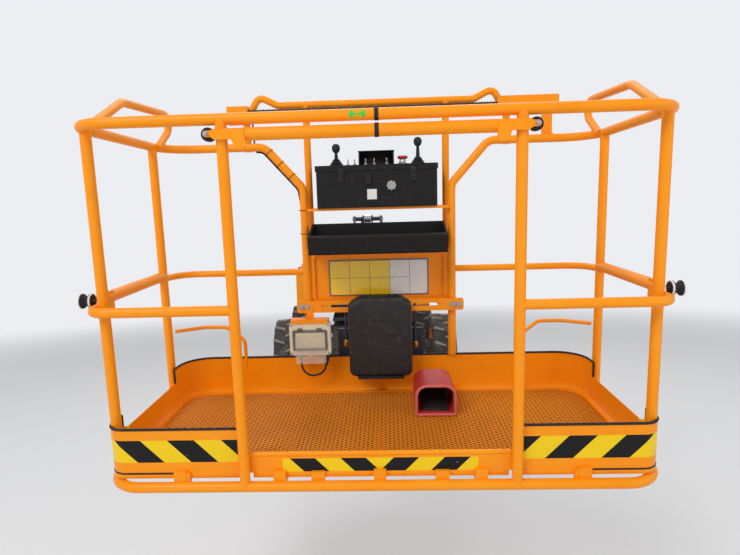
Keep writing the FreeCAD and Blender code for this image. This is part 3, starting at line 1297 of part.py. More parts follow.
def origin_shift():
    """Move along Y that puts the origin in the middle of the machine's length."""
    front = platform_point((PLAT_HALF_W - CORNER_FRONT_R, -TUBE_R, PLAT_H)).y
    rear = AXLE_Y + TYRE_R
    return V(0, -(front + rear) / 2, 0)


def main():
    """Write one file per node."""
    os.makedirs("parts", exist_ok=True)
    shift = origin_shift()
    for name, shape in pieces().items():
        solids = shape.Solids
        if not solids or not all(s.isValid() for s in solids):
            raise RuntimeError("bad solid in " + name)
        moved = Part.makeCompound(solids) if len(solids) > 1 else solids[0].copy()
        moved.translate(shift)
        moved.exportStep("parts/" + name + ".step")
        print(name, len(solids), round(moved.Volume / 1e6, 2), "dm3")


if __name__ == "__main__":
    main()
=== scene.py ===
"""Looks of an articulating boom lift: finishes for its steel, rubber and plastic, and its fine parts.

Lengths are metres in the machine's frame: +Z up, -Y towards the platform, +Y towards the tail. What sits
on the platform is laid out in the platform's own frame (x right, y back from the front rail, z up from
the bottom rail) and carried to the machine's frame by PlatformFrame.
"""

import json
import logging
import math
from dataclasses import dataclass
from enum import Enum
from typing import Iterable, Sequence

import bmesh
import bpy
from mathutils import Matrix, Vector

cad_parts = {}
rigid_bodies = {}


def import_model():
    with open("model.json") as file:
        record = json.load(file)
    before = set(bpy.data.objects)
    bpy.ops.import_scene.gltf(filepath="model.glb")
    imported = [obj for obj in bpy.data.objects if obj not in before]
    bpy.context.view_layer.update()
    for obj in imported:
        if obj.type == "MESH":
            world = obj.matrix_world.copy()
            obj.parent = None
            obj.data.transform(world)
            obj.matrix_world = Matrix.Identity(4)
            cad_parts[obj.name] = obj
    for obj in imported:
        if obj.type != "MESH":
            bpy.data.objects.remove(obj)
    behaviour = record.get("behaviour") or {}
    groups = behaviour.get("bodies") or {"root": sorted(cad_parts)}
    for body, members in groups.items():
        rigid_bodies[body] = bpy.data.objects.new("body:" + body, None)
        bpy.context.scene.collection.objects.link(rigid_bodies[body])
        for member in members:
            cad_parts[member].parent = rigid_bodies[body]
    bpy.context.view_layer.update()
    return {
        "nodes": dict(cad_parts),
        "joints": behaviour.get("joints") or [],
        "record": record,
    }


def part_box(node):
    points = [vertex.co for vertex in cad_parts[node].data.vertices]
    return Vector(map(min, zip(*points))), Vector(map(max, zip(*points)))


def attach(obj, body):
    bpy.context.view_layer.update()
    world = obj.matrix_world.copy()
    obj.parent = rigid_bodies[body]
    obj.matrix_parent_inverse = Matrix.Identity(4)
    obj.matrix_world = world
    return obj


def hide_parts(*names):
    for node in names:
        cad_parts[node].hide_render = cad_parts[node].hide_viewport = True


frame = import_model()

LOG = logging.getLogger("boom_lift")
Point = Sequence[float]
Outline = Sequence[tuple[float, float]]
Colour = tuple[float, float, float]
POLE_RADIUS = 1e-5  # of the ring at a turned form's tip, which is merged into a point
MERGE = 1e-5  # distance under which points become one
SHARP = math.radians(35)  # angle over which an edge is shaded hard
BEVEL_FROM = math.radians(40)  # angle over which an edge is rounded


def srgb(red: int, green: int, blue: int) -> Colour:
    """Linear colour of an 8-bit screen colour.

    Args:
        red: Red from 0 to 255.
        green: Green from 0 to 255.
        blue: Blue from 0 to 255.

    Returns:
        The three linear values.
    """
    def linear(value: int) -> float:
        """One linear value."""
        share = value / 255
        return share / 12.92 if share <= 0.04045 else ((share + 0.055) / 1.055) ** 2.4
    return (linear(red), linear(green), linear(blue))


def circle(count: int, radius: float = 1.0, start: float = 0.0) -> list[tuple[float, float]]:
    """Points of a circle about the origin.

    Args:
        count: How many points.
        radius: The circle's radius.
        start: Turn of the first point, in steps.

    Returns:
        Each point's distance along the first axis and along the second.
    """
    turns = [2 * math.pi * (k + start) / count for k in range(count)]
    return [(math.cos(turn) * radius, math.sin(turn) * radius) for turn in turns]


def joint(name: str) -> dict:
    """The frame's joint of a name.

    Args:
        name: The joint's name.

    Returns:
        The joint's entry, with its place and axis.
    """
    return next(entry for entry in frame["joints"] if entry["name"] == name)


# Node wrappers


class Sock:
    """An output socket of single values that takes part in Python expressions."""

    def __init__(self, kit: "NodeKit", socket: bpy.types.NodeSocket) -> None:
        self.kit = kit
        self.socket = socket

    def _maths(self, operation: str, *values: "Sock | float") -> "Sock":
        inputs = dict(enumerate(values))
        return self.kit.value("ShaderNodeMath", {"operation": operation}, inputs)

    def __add__(self, other: "Sock | float") -> "Sock":
        """Sum."""
        return self._maths("ADD", self, other)

    __radd__ = __add__

    def __sub__(self, other: "Sock | float") -> "Sock":
        """Difference."""
        return self._maths("SUBTRACT", self, other)

    def __rsub__(self, other: float) -> "Sock":
        """Reflected difference."""
        return self._maths("SUBTRACT", other, self)

    def __mul__(self, other: "Sock | float") -> "Sock":
        """Product."""
        return self._maths("MULTIPLY", self, other)

    __rmul__ = __mul__

    def __truediv__(self, other: "Sock | float") -> "Sock":
        """Quotient."""
        return self._maths("DIVIDE", self, other)

    def __gt__(self, other: "Sock | float") -> "Sock":
        """1 where this is greater."""
        return self._maths("GREATER_THAN", self, other)

    def __lt__(self, other: "Sock | float") -> "Sock":
        """1 where this is less."""
        return self._maths("LESS_THAN", self, other)

    def modulo(self, other: "Sock | float") -> "Sock":
        """Remainder that stays positive."""
        return self._maths("FLOORED_MODULO", self, other)

    def absolute(self) -> "Sock":
        """Size without its sign."""
        return self._maths("ABSOLUTE", self)

    def clamped(self) -> "Sock":
        """Kept from 0 to 1."""
        return self._maths("MAXIMUM", self._maths("MINIMUM", self, 1.0), 0.0)

    def step(self, low: float, high: float) -> "Sock":
        """Smooth rise from 0 at low to 1 at high."""
        return self.kit.value("ShaderNodeMapRange", {"interpolation_type": "SMOOTHSTEP"},
                              {"Value": self, "From Min": low, "From Max": high})

    def between(self, low: float, high: float) -> "Sock":
        """1 between two values."""
        return (self > low) * (self < high)


class NodeKit:
    """Adds nodes to a shader or geometry tree."""

    def __init__(self, tree: bpy.types.NodeTree) -> None:
        """Keeps the tree."""
        self.tree = tree

    def node(self, kind: str, settings: dict | None = None, inputs: dict | None = None) -> bpy.types.Node:
        """Adds any node.

        Args:
            kind: The node's type.
            settings: Its properties.
            inputs: Values, sockets or Socks for its inputs, by name or by place.

        Returns:
            The node.
        """
        made = self.tree.nodes.new(kind)
        for name, value in (settings or {}).items():
            setattr(made, name, value)
        for key, value in (inputs or {}).items():
            self.connect(value, made.inputs[key])
        return made

    def connect(self, value: object, target: bpy.types.NodeSocket) -> None:
        """Links or sets an input.

        Args:
            value: A Sock, a socket, a number or a tuple.
            target: The input socket.
        """
        if isinstance(value, Sock):
            self.tree.links.new(value.socket, target)
        elif isinstance(value, bpy.types.NodeSocket):
            self.tree.links.new(value, target)
        elif target.type == "RGBA" and len(value) == 3:
            target.default_value = (*value, 1.0)
        else:
            target.default_value = value

    def value(self, kind: str, settings: dict | None = None, inputs: dict | None = None,
              output: str | int = 0) -> Sock:
        """Adds a node and wraps one of its outputs of single values.

        Args:
            kind: The node's type.
            settings: Its properties.
            inputs: Its input values or links.
            output: The output's name or place.

        Returns:
            The wrapped output.
        """
        return Sock(self, self.node(kind, settings, inputs).outputs[output])


class Shader(NodeKit):
    """A material under construction, with one Principled shader."""

    def __init__(self, name: str, roughness: float = 0.5, metallic: float = 0.0, coat: float = 0.0) -> None:
        """Makes the material.

        Args:
            name: The material's name.
            roughness: Roughness where nothing else feeds it.
            metallic: Metallic where nothing else feeds it.
            coat: Weight of the clear coat.
        """
        self.material = bpy.data.materials.new(name)
        self.material.use_nodes = True
        super().__init__(self.material.node_tree)
        self.surface = self.tree.nodes["Principled BSDF"]
        for socket, amount in (("Roughness", roughness), ("Metallic", metallic), ("Coat Weight", coat)):
            self.surface.inputs[socket].default_value = amount
        self._place = self.node("ShaderNodeTexCoord").outputs["Object"]
        self.base_mix: bpy.types.NodeSocket | None = None  # colour that another finish may paint over

    def place(self, at: Matrix | None = None) -> bpy.types.NodeSocket:
        """Coordinates of the surface in metres.

        Args:
            at: A frame to give them in, instead of the machine's own.

        Returns:
            The vector socket.
        """
        if at is None:
            return self._place
        settings = {"vector_type": "TEXTURE"}
        inputs = {"Vector": self._place, "Location": tuple(at.to_translation()),
                  "Rotation": tuple(at.to_euler("XYZ"))}
        return self.node("ShaderNodeMapping", settings, inputs).outputs[0]

    def axes(self, vector: bpy.types.NodeSocket) -> tuple[Sock, Sock, Sock]:
        """The three parts of a vector."""
        split = self.node("ShaderNodeSeparateXYZ", None, {0: vector})
        return Sock(self, split.outputs[0]), Sock(self, split.outputs[1]), Sock(self, split.outputs[2])

    def noise(self, scale: float, detail: float = 4.0, rough: float = 0.55,
              vector: bpy.types.NodeSocket | None = None) -> Sock:
        """Noise from 0 to 1 at a scale in cells a metre."""
        inputs = {"Vector": vector or self._place, "Scale": scale, "Detail": detail, "Roughness": rough}
        return self.value("ShaderNodeTexNoise", None, inputs)

    def cells(self, scale: float, vector: bpy.types.NodeSocket | None = None) -> Sock:
        """Distance to the middle of scattered cells."""
        return self.value("ShaderNodeTexVoronoi", None, {"Vector": vector or self._place, "Scale": scale})

    def mix(self, share: Sock | float, below: object, above: object) -> bpy.types.NodeSocket:
        """Mixes two colours.

        Args:
            share: How much of the second, from 0 to 1.
            below: The first colour or its socket.
            above: The second colour or its socket.

        Returns:
            The socket of the mixed colour.
        """
        node = self.node("ShaderNodeMix", {"data_type": "RGBA"})
        self.connect(share, node.inputs[0])
        self.connect(below, node.inputs[6])
        self.connect(above, node.inputs[7])
        return node.outputs[2]

    def colour(self, value: object) -> None:
        """Feeds the base colour."""
        self.connect(value, self.surface.inputs["Base Color"])

    def rough(self, value: Sock | float) -> None:
        """Feeds the roughness."""
        self.connect(value, self.surface.inputs["Roughness"])

    def bump(self, height: Sock, distance: float, strength: float = 1.0) -> None:
        """Feeds the normal with a bump.

        Args:
            height: Height from 0 to 1.
            distance: Metres that a height of 1 stands for.
            strength: Share of the effect.
        """
        inputs = {"Height": height, "Distance": distance, "Strength": strength}
        node = self.node("ShaderNodeBump", None, inputs)
        self.connect(node.outputs[0], self.surface.inputs["Normal"])


# Finishes


class Tone(Enum):
    """Named colours of the machine."""

    ORANGE = srgb(255, 151, 3)
    ORANGE_DEEP = srgb(214, 104, 0)
    ORANGE_FADED = srgb(255, 158, 22)
    YELLOW = srgb(246, 208, 20)
    SLATE = srgb(48, 58, 68)
    SLATE_DEEP = srgb(30, 36, 43)
    CHARCOAL = srgb(44, 45, 48)
    CHARCOAL_DEEP = srgb(24, 25, 27)
    BLACK = srgb(16, 16, 17)
    BLACK_WORN = srgb(49, 47, 45)
    DUST = srgb(172, 158, 136)
    RUBBER = srgb(38, 38, 40)
    STEEL = srgb(176, 176, 172)
    RUST = srgb(112, 60, 30)
    CREAM = srgb(232, 222, 190)
    RED = srgb(186, 44, 38)
    RED_FADED = srgb(214, 104, 96)
    MESH_SHADE = srgb(128, 68, 14)
    PRIMER = srgb(92, 94, 96)
    WHITE = srgb(228, 228, 224)
    BRASS = srgb(190, 150, 80)
    GREEN = srgb(60, 200, 60)


@dataclass(frozen=True)
class Enamel:
    """Sprayed enamel on steel: orange peel, faded patches, fine scratches, chips and settled dust."""

    name: str
    base: Tone
    deep: Tone
    faded: Tone
    roughness: float = 0.34
    dust: float = 0.25
    chips: float = 0.35
    dust_height: float = 0.9

    def build(self) -> Shader:
        """Makes the shader.

        Returns:
            The shader, with its colour kept in base_mix.
        """
        shader = Shader(self.name, self.roughness, coat=0.05)
        shader.surface.inputs["Specular IOR Level"].default_value = 0.2
        patches = shader.noise(2.4, 5.0, 0.6)
        colour = shader.mix(patches.step(0.35, 0.75), self.base.value, self.faded.value)
        streaks = shader.noise(9.0, 6.0, 0.65)
        colour = shader.mix(streaks.step(0.55, 0.9) * 0.45, colour, self.deep.value)
        _, _, z = shader.axes(shader.place())
        low = 1.0 - z.step(0.2, self.dust_height)
        grit = shader.noise(34.0, 8.0, 0.7)
        dusty = (low * 0.7 + 0.3) * grit.step(0.42, 0.78) * self.dust
        colour = shader.mix(dusty.clamped(), colour, Tone.DUST.value)
        chip = shader.noise(58.0, 3.0, 0.5).step(0.74 - 0.06 * self.chips, 0.76 - 0.06 * self.chips)
        chip = chip * shader.noise(5.0, 2.0, 0.5).step(0.55, 0.62) * self.chips
        colour = shader.mix(chip.clamped(), colour, Tone.PRIMER.value)
        shader.base_mix = colour
        shader.colour(colour)
        shader.rough(self.roughness + dusty * 0.5 + grit * 0.08 + chip * 0.2)
        peel = shader.noise(420.0, 2.0, 0.5)
        shader.bump(peel * 0.5 - chip, 0.0006, 0.35)
        return shader


@dataclass(frozen=True)
class Hazard:
    """Black and yellow stripes on the toe boards, over their enamel."""

    band: float = 0.082
    wing_band: float = 0.0885
    wing_start: float = 0.0835
    sill_start: float = 0.041
    wing_low: float = 0.077
    wing_high: float = 0.153
    wing_from: float = 0.43
    sill_low: float = 0.041
    sill_high: float = 0.086
    sill_half: float = 0.315
    front_depth: float = 0.15
    corner: float = 0.893

    def build(self, platform: Matrix) -> bpy.types.Material:
        """Makes the material.

        Args:
            platform: The platform's frame.

        Returns:
            The material.
        """
        shader = ORANGE_ENAMEL.build()
        shader.material.name = "toe_board_paint"
        x, y, z = shader.axes(shader.place(platform))
        across = x.absolute()
        wing = z.between(self.wing_low, self.wing_high) * (across > self.wing_from)
        sill = z.between(self.sill_low, self.sill_high) * (across < self.sill_half)
        front = (y < self.front_depth) * (1.0 - (across > self.corner))
        wing_black = (across - z + self.wing_start).modulo(2 * self.wing_band) < self.wing_band
        sill_black = (across - z + self.sill_start).modulo(2 * self.band) < self.band
        worn = shader.noise(60.0, 6.0, 0.65).step(0.66, 0.74) * 0.5
        tape = shader.mix(wing_black * wing + sill_black * sill, Tone.YELLOW.value, Tone.BLACK.value)
        tape = shader.mix(worn, tape, Tone.DUST.value)
        shader.colour(shader.mix((wing + sill) * front, shader.base_mix, tape))
        return shader.material


@dataclass(frozen=True)
class Moulding:
    """Moulded plastic or rubber with a fine grain and dust in it."""

    name: str
    base: Tone
    worn: Tone
    roughness: float = 0.55
    grain: float = 900.0
    depth: float = 0.0004
    dust: float = 0.15
    specular: float = 0.5

    def build(self) -> bpy.types.Material:
        """Makes the material.

        Returns:
            The material.
        """
        shader = Shader(self.name, self.roughness)
        shader.surface.inputs["Specular IOR Level"].default_value = self.specular
        cloud = shader.noise(7.0, 6.0, 0.6)
        colour = shader.mix(cloud.step(0.4, 0.8) * 0.5, self.base.value, self.worn.value)
        grit = shader.noise(46.0, 8.0, 0.7)
        dusty = grit.step(0.5, 0.8) * self.dust
        shader.colour(shader.mix(dusty, colour, Tone.DUST.value))
        shader.rough(self.roughness + dusty * 0.6 + cloud * 0.1)
        shader.bump(shader.cells(self.grain), self.depth, 0.6)
        return shader.material


@dataclass(frozen=True)
class BareMetal:
    """Bare or plated metal with smudges, fine scratches and a share of rust."""

    name: str
    base: Tone
    roughness: float = 0.28
    rust: float = 0.0

    def build(self) -> bpy.types.Material:
        """Makes the material.

        Returns:
            The material.
        """
        shader = Shader(self.name, self.roughness)
        smudge = shader.noise(16.0, 6.0, 0.6)
        rusty = shader.noise(70.0, 6.0, 0.7).step(0.62 - 0.2 * self.rust, 0.8 - 0.2 * self.rust) * self.rust
        shader.colour(shader.mix(rusty, self.base.value, Tone.RUST.value))
        shader.rough(self.roughness + smudge * 0.18 + rusty * 0.5)
        shader.connect(1.0 - rusty, shader.surface.inputs["Metallic"])
        shader.bump(shader.noise(260.0, 4.0, 0.6), 0.0003, 0.4)
        return shader.material


@dataclass(frozen=True)
class TyreRubber:
    """Tyre rubber with dust on the lugs' faces and in patches on the walls."""

    roughness: float = 0.82

    def build(self) -> bpy.types.Material:
        """Makes the material, which reads the mesh's tread attribute: 1 on a lug's face.

        Returns:
            The material.
        """
        shader = Shader("tyre_rubber_dusty", self.roughness)
        tread = shader.value("ShaderNodeAttribute", {"attribute_name": "tread"}, None, "Fac")
        cloud = shader.noise(9.0, 7.0, 0.65)
        grit = shader.noise(120.0, 6.0, 0.7)
        colour = shader.mix(cloud.step(0.4, 0.8) * 0.6, Tone.RUBBER.value, Tone.BLACK_WORN.value)
        dusty = tread * (0.28 + cloud * 0.45) + grit.step(0.45, 0.8) * 0.3 + cloud.step(0.4, 0.8) * 0.28
        shader.colour(shader.mix(dusty.clamped(), colour, Tone.DUST.value))
        shader.bump(grit, 0.0012, 0.6)
        return shader.material


@dataclass(frozen=True)
class SignFace:
    """A bare sign plate: a yellow field and a pale field, ruled into empty cells."""

    split: float = 0.045
    left: float = -0.218
    right: float = 0.212
    low: float = 0.482
    high: float = 0.636
    cell: float = 0.0876
    row_end: float = 0.128
    line: float = 0.0022
    border: float = 0.003

    def build(self, platform: Matrix) -> bpy.types.Material:
        """Makes the material.

        Args:
            platform: The platform's frame.

        Returns:
            The material.
        """
        shader = Shader("sign_face", 0.32, coat=0.4)
        x, _, z = shader.axes(shader.place(platform))
        colour = shader.mix(x > self.split, Tone.YELLOW.value, Tone.WHITE.value)
        lines = (x - self.left).modulo(self.cell) < self.line
        half = (self.low + self.high) / 2
        row = ((z - half).absolute() < self.line / 2) * (x < self.row_end)
        inside = x.between(self.left + self.border, self.right - self.border)
        edge = 1.0 - inside * z.between(self.low + self.border, self.high - self.border)
        ink = (lines + row + edge).clamped()
        colour = shader.mix(ink * 0.85, colour, Tone.BLACK_WORN.value)
        stain = shader.noise(28.0, 6.0, 0.65).step(0.5, 0.85) * 0.35
        shader.colour(shader.mix(stain, colour, Tone.DUST.value))
        shader.rough(0.3 + stain * 0.8)
        shader.bump(shader.noise(300.0, 3.0, 0.5), 0.0002, 0.3)
        return shader.material


ORANGE_ENAMEL = Enamel("orange_enamel", Tone.ORANGE, Tone.ORANGE_DEEP, Tone.ORANGE_FADED, dust=0.12)
SLATE_ENAMEL = Enamel("slate_enamel", Tone.SLATE, Tone.SLATE_DEEP, Tone.SLATE, 0.4, dust=0.3)
CHARCOAL_ENAMEL = Enamel("charcoal_enamel", Tone.CHARCOAL, Tone.CHARCOAL_DEEP, Tone.CHARCOAL, 0.5, dust=0.7)
RIM_ENAMEL = Enamel("rim_enamel", Tone.ORANGE, Tone.ORANGE_DEEP, Tone.ORANGE_FADED, 0.45, dust=0.8,
                    dust_height=1.4)


class Finishes:
    """Every material, made once."""

    def __init__(self, platform: Matrix) -> None:
        """Makes the materials.

        Args:
            platform: The platform's frame, for what is ruled along it.
        """
        self.orange = ORANGE_ENAMEL.build().material
        self.slate = SLATE_ENAMEL.build().material
        self.charcoal = CHARCOAL_ENAMEL.build().material
        self.rim = RIM_ENAMEL.build().material
        self.toe = Hazard().build(platform)
        self.sign = SignFace().build(platform)
        self.tyre = TyreRubber().build()
        self.chrome = BareMetal("chrome_rod", Tone.STEEL, 0.12).build()
        self.zinc = BareMetal("zinc_fasteners", Tone.STEEL, 0.34, 0.25).build()
        self.iron = BareMetal("engine_iron", Tone.PRIMER, 0.5, 0.4).build()
        self.brass = BareMetal("brass_fittings", Tone.BRASS, 0.3).build()
        self.black = Moulding("black_moulding", Tone.BLACK, Tone.BLACK_WORN).build()
        self.black_clean = Moulding("black_moulding_clean", Tone.BLACK, Tone.BLACK, 0.45, dust=0.05,
                                    specular=0.25).build()
        self.rubber = Moulding("black_rubber", Tone.BLACK, Tone.CHARCOAL, 0.75, 500.0).build()
        self.cream = Moulding("cream_moulding", Tone.CREAM, Tone.WHITE, 0.4).build()
        self.red = Moulding("red_moulding", Tone.RED, Tone.RED_FADED, 0.42).build()
        self.red_faded = Moulding("red_moulding_faded", Tone.RED_FADED, Tone.RED, 0.5).build()
        self.floor = self._floor()
        self.socket = self._socket(platform)
        self.white = Moulding("white_moulding", Tone.WHITE, Tone.CREAM, 0.4).build()
        self.marker = Moulding("marker_green", Tone.GREEN, Tone.GREEN, 0.5, dust=0.05).build()
        self.steel_grey = Moulding("grey_moulding", Tone.PRIMER, Tone.STEEL, 0.45).build()
        self.clear = self._clear()

    @staticmethod
    def _floor() -> bpy.types.Material:
        """Makes enamel on expanded mesh: clean on the strands' tops, brown on their sides with painted
        shade of the holes and old dirt.

        Returns:
            The material.
        """
        shader = ORANGE_ENAMEL.build()
        shader.material.name = "mesh_floor_paint"
        facing = shader.node("ShaderNodeNewGeometry").outputs["Normal"]
        _, _, up = shader.axes(facing)
        trodden = shader.noise(5.0, 5.0, 0.6).step(0.45, 0.75) * 0.14
        top = shader.mix(trodden, shader.base_mix, Tone.MESH_SHADE.value)
        # faces that don't point up get painted shade of the holes beneath, mixed with old dirt
        shader.colour(shader.mix(up < 0.6, top, Tone.MESH_SHADE.value))
        return shader.material

    @staticmethod
    def _socket(platform: Matrix, cap: float = 0.3798) -> bpy.types.Material:
        """Makes cream moulding with the orange cap and hanger above it.

        Args:
            platform: The platform's frame.
            cap: Height where the cap starts.

        Returns:
            The material.
        """
        shader = ORANGE_ENAMEL.build()
        shader.material.name = "socket_housing"
        _, _, z = shader.axes(shader.place(platform))
        stain = shader.noise(24.0, 6.0, 0.65).step(0.5, 0.85) * 0.3
        cream = shader.mix(stain, Tone.CREAM.value, Tone.DUST.value)
        shader.colour(shader.mix(z > cap, cream, shader.base_mix))
        return shader.material

    @staticmethod
    def _clear() -> bpy.types.Material:
        """Makes clear scratched plastic.

        Returns:
            The material.
        """
        shader = Shader("clear_moulding", 0.12, coat=0.5)
        haze = shader.noise(60.0, 6.0, 0.6)
        shader.colour(shader.mix(haze, Tone.WHITE.value, Tone.CREAM.value))
        shader.connect(0.22 + haze * 0.16, shader.surface.inputs["Alpha"])
        shader.rough(0.1 + haze * 0.2)
        return shader.material


# Shapes


class Shape:
    """Mesh under construction, in its own frame, that becomes a piece at the origin."""

    def __init__(self, at: Matrix | None = None) -> None:
        """Starts empty.

        Args:
            at: Frame that the shape is laid out in, carried to the machine's frame at the end.
        """
        self.mesh = bmesh.new()
        self.at = at or Matrix.Identity(4)

    def add(self, points: Iterable[Point], faces: Iterable[Sequence[int]]) -> None:
        """Adds vertices and faces.

        Args:
            points: Places of the vertices.
            faces: Corners of each face, by place in the points.
        """
        made = [self.mesh.verts.new(point) for point in points]
        for face in faces:
            self.mesh.faces.new([made[i] for i in face])

    def rings(self, rings: Sequence[Sequence[Point]], close_ends: bool = True, loop: bool = False) -> None:
        """Skins a row of rings with the same number of points.

        Args:
            rings: The rings, in order.
            close_ends: Whether the first and last ring get a face.
            loop: Whether the last ring joins the first.
        """
        count = len(rings[0])
        points = [point for ring in rings for point in ring]
        faces = []
        spans = len(rings) if loop else len(rings) - 1
        for i in range(spans):
            after = (i + 1) % len(rings)
            for j in range(count):
                k = (j + 1) % count
                faces.append((i * count + j, i * count + k, after * count + k, after * count + j))
        if close_ends and not loop:
            faces.append(tuple(reversed(range(count))))
            faces.append(tuple(range((len(rings) - 1) * count, len(rings) * count)))
        self.add(points, faces)

    def box(self, low: Point, high: Point) -> None:
        """Adds a box.

        Args:
            low: Its corner with the least values.
            high: Its corner with the greatest values.
        """
        (x0, y0, z0), (x1, y1, z1) = low, high
        ring = [(x0, y0), (x1, y0), (x1, y1), (x0, y1)]
        self.rings([[(x, y, z0) for x, y in ring], [(x, y, z1) for x, y in ring]])

    def tube(self, points: Sequence[Point], radius: float, sides: int = 12, loop: bool = False) -> None:
        """Adds a round bar along points.

        Args:
            points: The points of its middle line.
            radius: Its radius, or one radius for each point.
            sides: Corners of its section.
            loop: Whether it closes on itself.
        """
        points = [Vector(p) for p in points]
        radii = list(radius) if isinstance(radius, (list, tuple)) else [radius] * len(points)
        rings = []
        normal = None
        count = len(points)
        for i, point in enumerate(points):
            before = points[i - 1] if i or loop else point
            after = points[(i + 1) % count] if i < count - 1 or loop else point
            tangent = (after - before).normalized()
            if normal is None:
                normal = tangent.orthogonal().normalized()
            normal = (normal - tangent * normal.dot(tangent)).normalized()
            side = tangent.cross(normal)
            rings.append([point + (normal * a + side * b) * radii[i] for a, b in circle(sides)])
        self.rings(rings, loop=loop)

    def lathe(self, profile: Sequence[tuple[float, float]], at: Point = (0, 0, 0), along: Point = (0, 0, 1),
              sides: int = 24, loop: bool = False) -> None:
        """Adds a turned form.

        Args:
            profile: Pairs of distance along the axis and radius.
            at: Where the axis starts.
            along: The axis.
            sides: Corners of a turn.
            loop: Whether the form is a ring, open in its middle.
        """
        axis = Vector(along).normalized()
        first = axis.orthogonal().normalized()
        second = axis.cross(first)
        rings = []
        for reach, radius in profile:
            middle, wide = Vector(at) + axis * reach, max(radius, POLE_RADIUS)
            rings.append([middle + (first * a + second * b) * wide for a, b in circle(sides)])
        self.rings(rings, loop=loop)

    def slab(self, outline: Outline, y0: float, y1: float) -> None:
        """Adds a plate with an outline of (x, z) corners between two depths."""
        self.rings([[(x, y, z) for x, z in outline] for y in (y0, y1)])

    def bar(self, outline: Outline, x0: float, x1: float) -> None:
        """Adds a bar across, with an outline of (y, z) corners between two widths."""
        self.rings([[(x, y, z) for y, z in outline] for x in (x0, x1)])

    def border(self, outer: Sequence[Point], inner: Sequence[Point], rise: Point) -> None:
        """Adds a flat frame between two outlines.

        Args:
            outer: The outer outline's points on the back.
            inner: The inner outline's points on the back.
            rise: The way from the back to the face.
        """
        outer, inner = [Vector(p) for p in outer], [Vector(p) for p in inner]
        up = Vector(rise)
        rows = zip(outer, [p + up for p in outer], [p + up for p in inner], inner)
        self.rings([list(row) for row in rows], loop=True)

    def bezel(self, outer: Outline, inner: Outline, back: float, face: float) -> None:
        """Adds an upright frame between two outlines of (x, z) corners, from its back to its face."""
        self.border([(x, back, z) for x, z in outer], [(x, back, z) for x, z in inner], (0, face - back, 0))

    def piece(self, name: str, body: str, material: bpy.types.Material, slot: str = "",
              bevel: float = 0.0) -> bpy.types.Object:
        """Finishes the mesh as a piece on a body.

        Args:
            name: The piece's name.
            body: The body that it rides on.
            material: Its finish.
            slot: The record's material slot, if any; not used.
            bevel: Width of rounded edges.

        Returns:
            The piece.
        """
        bmesh.ops.remove_doubles(self.mesh, verts=self.mesh.verts, dist=MERGE)
        bmesh.ops.transform(self.mesh, matrix=self.at, verts=self.mesh.verts)
        bmesh.ops.recalc_face_normals(self.mesh, faces=self.mesh.faces)
        mesh = bpy.data.meshes.new(name)
        self.mesh.to_mesh(mesh)
        self.mesh.free()
        return settle(mesh, name, body, material, bevel)


def settle(mesh: bpy.types.Mesh, name: str, body: str, material: bpy.types.Material,
           bevel: float = 0.0, smooth: bool = True) -> bpy.types.Object:
    """Makes an object of a mesh and puts it on a body.

    Args:
        mesh: The mesh, placed in the machine's frame.
        name: The piece's name.
        body: The body that it rides on.
        material: Its finish.
        bevel: Width of rounded edges.
        smooth: Whether faces under 35 degrees apart are shaded as one.

    Returns:
        The piece.
    """
    made = bpy.data.objects.new(name, mesh)
    bpy.context.scene.collection.objects.link(made)
    mesh.materials.clear()
    mesh.materials.append(material)
    if bevel:
        modifier = made.modifiers.new("rounded", "BEVEL")
        modifier.width = bevel
        modifier.segments = 2
        modifier.limit_method = "ANGLE"
        modifier.angle_limit = BEVEL_FROM
        bake(made)
    if smooth:
        made.data.shade_smooth()
        made.data.set_sharp_from_angle(angle=SHARP)
    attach(made, body)
    LOG.info("%s on %s, %d faces", name, body, len(made.data.polygons))
    return made


def bake(made: bpy.types.Object) -> None:
    """Turns an object's modifiers into its plain mesh.

    Args:
        made: The object.
    """
    graph = bpy.context.evaluated_depsgraph_get()
    mesh = bpy.data.meshes.new_from_object(made.evaluated_get(graph))
    made.modifiers.clear()
    made.data = mesh


def rounded(corners: Outline, radii: float | Sequence[float], steps: int = 5) -> list[tuple[float, float]]:
    """Outline with a round at each corner.

    Args:
        corners: The corners, in order.
        radii: One radius, or one for each corner.
        steps: Points of a round, less one.

    Returns:
        The outline's points.
    """
    count = len(corners)
    radii = list(radii) if isinstance(radii, (list, tuple)) else [radii] * count
    outline = []
    for i, corner in enumerate(corners):
        middle = Vector(corner)
        if radii[i] <= 0:
            outline.append(tuple(middle))
            continue
        back = (Vector(corners[i - 1]) - middle).normalized()
        on = (Vector(corners[(i + 1) % count]) - middle).normalized()
        half = back.angle(on) / 2
        reach = radii[i] / math.tan(half)
        centre = middle + (back + on).normalized() * radii[i] / math.sin(half)
        first = middle + back * reach - centre
        last = middle + on * reach - centre
        turn = first.angle_signed(last)
        for k in range(steps + 1):
            outline.append(tuple(centre + Matrix.Rotation(-turn * k / steps, 2) @ first))
    return outline


def plate(first: float, low: float, last: float, high: float, radii: float | Sequence[float],
          steps: int = 5) -> list[tuple[float, float]]:
    """Outline of a plate with rounded corners, from its low first corner to its high last one."""
    return rounded([(first, low), (last, low), (last, high), (first, high)], radii, steps)


def seed(name: str) -> bpy.types.Mesh:
    """Makes a mesh of one point, for a tree that makes its own geometry.

    Args:
        name: The mesh's name.

    Returns:
        The mesh.
    """
    mesh = bpy.data.meshes.new(name)
    mesh.from_pydata([(0, 0, 0)], [], [])
    return mesh


